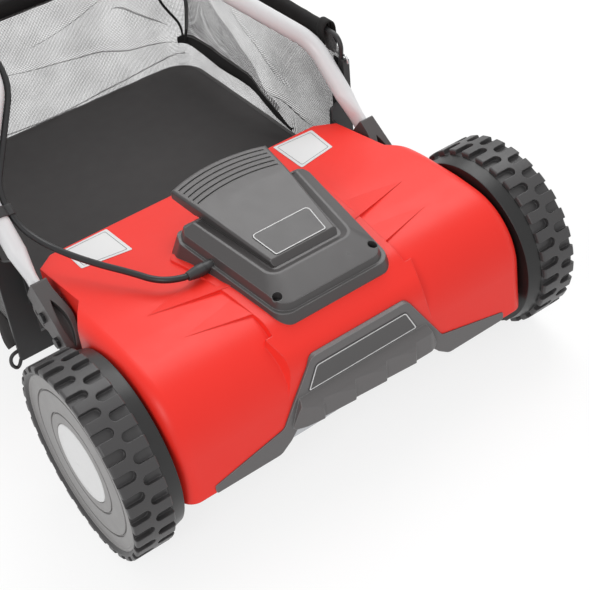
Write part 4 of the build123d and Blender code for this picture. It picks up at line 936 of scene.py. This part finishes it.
def tape(name, line, material, cloth, lift=1.6, count=90, across=4, depth=TAPE_DEPTH):
    """Strip sewn to the inner side of the bag; line gives run, height and width in millimetres."""
    middle = along_line(line, count)

    def place(i, j):
        ahead = (middle[min(i + 1, count)] - middle[max(i - 1, 0)]).xy.normalized()
        offset = (j / across - 0.5) * middle[i].z
        run, z = middle[i].x - ahead.y * offset, middle[i].y + ahead.x * offset
        point, out = bag_place(run, z)
        return at(*(point + out * (slack(run, z) - lift)))

    piece = new_piece(cloth_grid(name, count, across, place, lambda i: middle[i].x,
                                 lambda j: TAPE_MAP_STEP * j), material)
    thicken(piece, depth)
    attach(piece, CATCHER)
    sewn_on[cloth].append(piece)


TAPE_AND_SHADOW_WIDTHS = [8, 16, 21, 20, 15, 11, 5]
CORNER_TAPE = [(180, 262, 4), (207, 193, 4), (232, 154, 4), (240, 131, 4)]
FRONT_TAPE = [(588, 86, 19), (588, 140, 19), (588, 200, 19), (588, 246, 17)]
UPRIGHT_TAPE = [(252, 270, 6), (248, 220, 6), (245, 170, 6), (246, 130, 6)]
HEM_LINE = [(-238, 102, 2.4), (-158, 99, 2.4), (-90, 95, 2.4), (-24, 90, 2.4), (24, 88, 2.4), (90, 94, 2.4),
            (158, 100, 2.4), (238, 108, 2.4)]
LAP_BELOW, LAP_WIDTH, LAP_END_WIDTH = 0.8, 3.0, 0.8
for k in LAPPED:
    crease = CREASES[k]
    if crease[0][0] > SEAM_RUN:
        cloth = right_wall
    elif crease[-1][0] < -SEAM_RUN:
        cloth = left_wall
    else:
        cloth = rear_wall
    widths = [LAP_END_WIDTH] + [LAP_WIDTH] * (len(crease) - 2) + [LAP_END_WIDTH]
    lap_line = [(run, z - LAP_BELOW, width) for (run, z), width in zip(crease, widths)]
    tape("crease_lap_" + str(k + 1), lap_line, folded_mesh, cloth, lift=0.7, across=2,
         depth=LAP_DEPTH)
tape("rear_hem", HEM_LINE, folded_mesh, rear_wall, lift=1.2, count=160, across=2,
     depth=LAP_DEPTH)
FLAP_LOW = [(244, 138), (300, 143), (380, 143), (425, 135), (470, 113)]
FLAP_HIGH = [(246, 262), (275, 236), (310, 214), (372, 178), (470, 122)]
FLAP_COLUMNS, FLAP_ROWS = 40, 24
FLAP_GAP, FLAP_BELLY = 2.5, 3.0
FLAP_MAP_FOOT, FLAP_MAP_STEP = 140.0, 3.6


def flap(name, side):
    """Spare fold of mesh that hangs inside a side wall above its tape."""
    low, high = along_line(FLAP_LOW, FLAP_COLUMNS), along_line(FLAP_HIGH, FLAP_COLUMNS)

    def place(i, j):
        spot = low[i].lerp(high[i], j / FLAP_ROWS)
        point, out = bag_place(side * spot.x, spot.y)
        hang = FLAP_GAP + FLAP_BELLY * sin(pi * j / FLAP_ROWS)
        return at(*(point + out * (slack(side * spot.x, spot.y) - hang)))

    piece = new_piece(cloth_grid(name, FLAP_COLUMNS, FLAP_ROWS, place, lambda i: side * low[i].x,
                                 lambda j: FLAP_MAP_FOOT + FLAP_MAP_STEP * j), open_mesh)
    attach(piece, CATCHER)


for label, side, cloth in (("right", 1, right_wall), ("left", -1, left_wall)):
    flap(label + "_flap", side)
    # Side band: black webbing, widened in its middle into a painted shadow of the fold above it.
    tape_and_shadow_line = [(run, z, width) for (run, z), width in zip(TAPE_LINE, TAPE_AND_SHADOW_WIDTHS)]
    tape(label + "_side_tape_and_shadow", mirrored(tape_and_shadow_line, side), web_black, cloth)
    tape(label + "_corner_tape", mirrored(CORNER_TAPE, side), web_black, cloth, lift=2.2)
    tape(label + "_upright_tape", mirrored(UPRIGHT_TAPE, side), web_black, cloth, lift=2.8)
    tape(label + "_front_tape", mirrored(FRONT_TAPE, side), web_black, cloth)

# Seam round the bag's foot: charcoal sheet that stands out past the stitches, widest at the front corners.
# It dips a little outwards under its own weight.
SEAM_COLUMNS, SEAM_ROWS = 240, 4
SEAM_OUT, SEAM_FRONT_OUT, SEAM_FRONT = 9.0, 14.0, 70.0
SEAM_TUCK, SEAM_RAISE, SEAM_DIP = 0.6, 0.8, 2.6
SEAM_WAVE, SEAM_WAVE_LENGTH = 0.8, 30
SEAM_DEPTH, SEAM_MAP_STEP = 0.0012, 3.0


def seam_run(i):
    return -WALL_END + 2 * WALL_END * i / SEAM_COLUMNS


def seam_place(i, j):
    run = seam_run(i)
    share = j / SEAM_ROWS
    near_front = max(0, 1 - (WALL_END - abs(run)) / SEAM_FRONT)
    reach = SEAM_OUT + SEAM_FRONT_OUT * near_front * near_front * (3 - 2 * near_front)
    wave = SEAM_WAVE * noise.noise((run / SEAM_WAVE_LENGTH, 7.7, 2.2)) * share
    point, out = bag_place(run, WALL_LOW)
    height = SEAM_RAISE - SEAM_DIP * share * share + wave
    return at(*(point + out * (reach * share - SEAM_TUCK) + Vector((0, 0, height))))


foot_seam = new_piece(cloth_grid("foot_seam", SEAM_COLUMNS, SEAM_ROWS, seam_place, seam_run,
                                 lambda j: SEAM_MAP_STEP * j), charcoal)
thicken(foot_seam, SEAM_DEPTH)
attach(foot_seam, CATCHER)
sewn_on[rear_wall].append(foot_seam)

# Binding: black webbing folded over the wire hoop and the upper edge of the mesh.
# Two rows of stitches hold it; it ends where the straps begin.
BINDING_PROFILE = [(1.7, 253), (1.9, 262), (1.9, 272), (1.8, 278), (0.9, 281.6), (-1.0, 283.2), (-4.0, 283.6),
                   (-7.0, 282.4), (-8.6, 279), (-9.0, 272), (-8.8, 262)]
BINDING_COLUMNS = 300
BINDING_END, BINDING_WIDTH = 566.0, 0.062
BINDING_DEPTH, BINDING_MAP_STEP = 0.0012, 6.0
RIPPLE, RIPPLE_LENGTH = 0.5, 16


def binding_place(run, offset, z):
    """Point beside the bag's upper edge, with the small waves of sewn webbing."""
    point, out = bag_place(run, min(z, WALL_HIGH))
    ripple = RIPPLE * noise.noise((run / RIPPLE_LENGTH, 4.2, 1.3))
    return at(*(point + out * (offset + ripple) + Vector((0, 0, max(0, z - WALL_HIGH)))))


def binding_run(i):
    return -BINDING_END + 2 * BINDING_END * i / BINDING_COLUMNS


binding = new_piece(cloth_grid(
    "hoop_binding", BINDING_COLUMNS, len(BINDING_PROFILE) - 1,
    lambda i, j: binding_place(binding_run(i), *BINDING_PROFILE[j]), binding_run,
    lambda j: BINDING_MAP_STEP * j), web_black)
thicken(binding, BINDING_DEPTH)

STITCH_PITCH, STITCH_LENGTH, STITCH_STEPS = 5.0, 3.4, 3
STITCH_HALF, STITCH_BOW, STITCH_DEPTH = 0.45, 0.35, 0.0006
stitch_points, stitch_faces = [], []
for z, offset in ((257, 2.6), (272, 2.7)):
    for k in range(int(2 * BINDING_END / STITCH_PITCH) - 1):
        run = -BINDING_END + (k + 0.7) * STITCH_PITCH
        first = len(stitch_points)
        for step in range(STITCH_STEPS + 1):
            share = step / STITCH_STEPS
            lift = offset + STITCH_BOW * sin(pi * share)
            for dz in (-STITCH_HALF, STITCH_HALF):
                stitch_points.append(tuple(binding_place(run + STITCH_LENGTH * share, lift, z + dz)))
        for step in range(STITCH_STEPS):
            a = first + 2 * step
            stitch_faces.append((a, a + 2, a + 3, a + 1))
stitch_mesh = bpy.data.meshes.new("binding_stitches")
stitch_mesh.from_pydata(stitch_points, [], stitch_faces)
stitch_grey = moulded("stitch thread", (0.12, 0.118, 0.118), 0.7, grain_mm=0.6, grain_depth=0.4, edge_wear_and_highlight=0.0,
                      specular=0.2)
stitches = new_piece(stitch_mesh, stitch_grey)
thicken(stitches, STITCH_DEPTH)
for piece in (binding, stitches):
    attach(piece, CATCHER)
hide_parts("catcher_binding")

# Straps: a webbing loop over the hoop near each front end, with a zinc wire hook to the frame.
# Below it a black plastic loop stands out at the frame's foot.
STRAP_LINE = [(236.0, 258), (235.0, 276), (238, 284), (243, 287), (249.5, 284), (252.6, 275), (253.2, 258),
              (252.0, 247), (249.4, 242.5), (247.0, 247), (247.6, 257)]
STRAP_Y0, STRAP_Y1 = 262.0, 276.0
STRAP_COLUMNS, STRAP_ROWS = 60, 4
STRAP_MAP_ALONG, STRAP_MAP_ACROSS = 2.0, 3.5
STRAP_FLAT, STRAP_DEPTH = (0.111, 0.014), 0.0014
HOOK_RADIUS, FOOT_RADIUS, WIRE_SIDES = 0.0013, 0.0022, 10
FOOT_ROUTE = [(245, 231, 73), (251, 231, 73), (257, 230.6, 68), (257.5, 230, 58), (252.5, 229.6, 51),
              (248, 230, 54), (245, 231, 60)]
HOOK_ROUTE = [(249.4, 277, 245.2), (249.4, 261, 245.2), (246.5, 248, 246.5), (242.5, 237, 252.5),
              (241.8, 231, 254.6), (241.6, 226.6, 251.5), (241.6, 226.2, 245)]
for label, side in (("right", 1), ("left", -1)):
    line = along_line(STRAP_LINE, STRAP_COLUMNS)
    strap = new_piece(cloth_grid(
        label + "_strap", STRAP_COLUMNS, STRAP_ROWS,
        lambda i, j: at(side * line[i].x, STRAP_Y0 + (STRAP_Y1 - STRAP_Y0) * j / STRAP_ROWS, line[i].y),
        lambda i: STRAP_MAP_ALONG * i, lambda j: STRAP_MAP_ACROSS * j), web_black)
    thicken(strap, STRAP_DEPTH)
    hook_points = nurbs_points(label + "_hook_route", [at(*p) for p in mirrored(HOOK_ROUTE, side)], 8)
    hook = new_piece(tube_mesh(label + "_hook", hook_points, HOOK_RADIUS, WIRE_SIDES), zinc)
    foot_points = nurbs_points(label + "_foot_route", [at(*p) for p in mirrored(FOOT_ROUTE, side)], 10)
    foot = new_piece(tube_mesh(label + "_foot_loop", foot_points, FOOT_RADIUS, WIRE_SIDES), black_plastic)
    for piece in (strap, hook, foot):
        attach(piece, CATCHER)

# Shading of the carried-over solids: their rounded faces are smooth, as they come out of a mould or a bend.
# Edges steeper than this angle stay sharp.
SMOOTH_BELOW = radians(32)
for solid in nodes.values():
    solid.data.shade_smooth()
    solid.data.set_sharp_from_angle(angle=SMOOTH_BELOW)

# Scene brought up to date at the end.
bpy.context.view_layer.update()
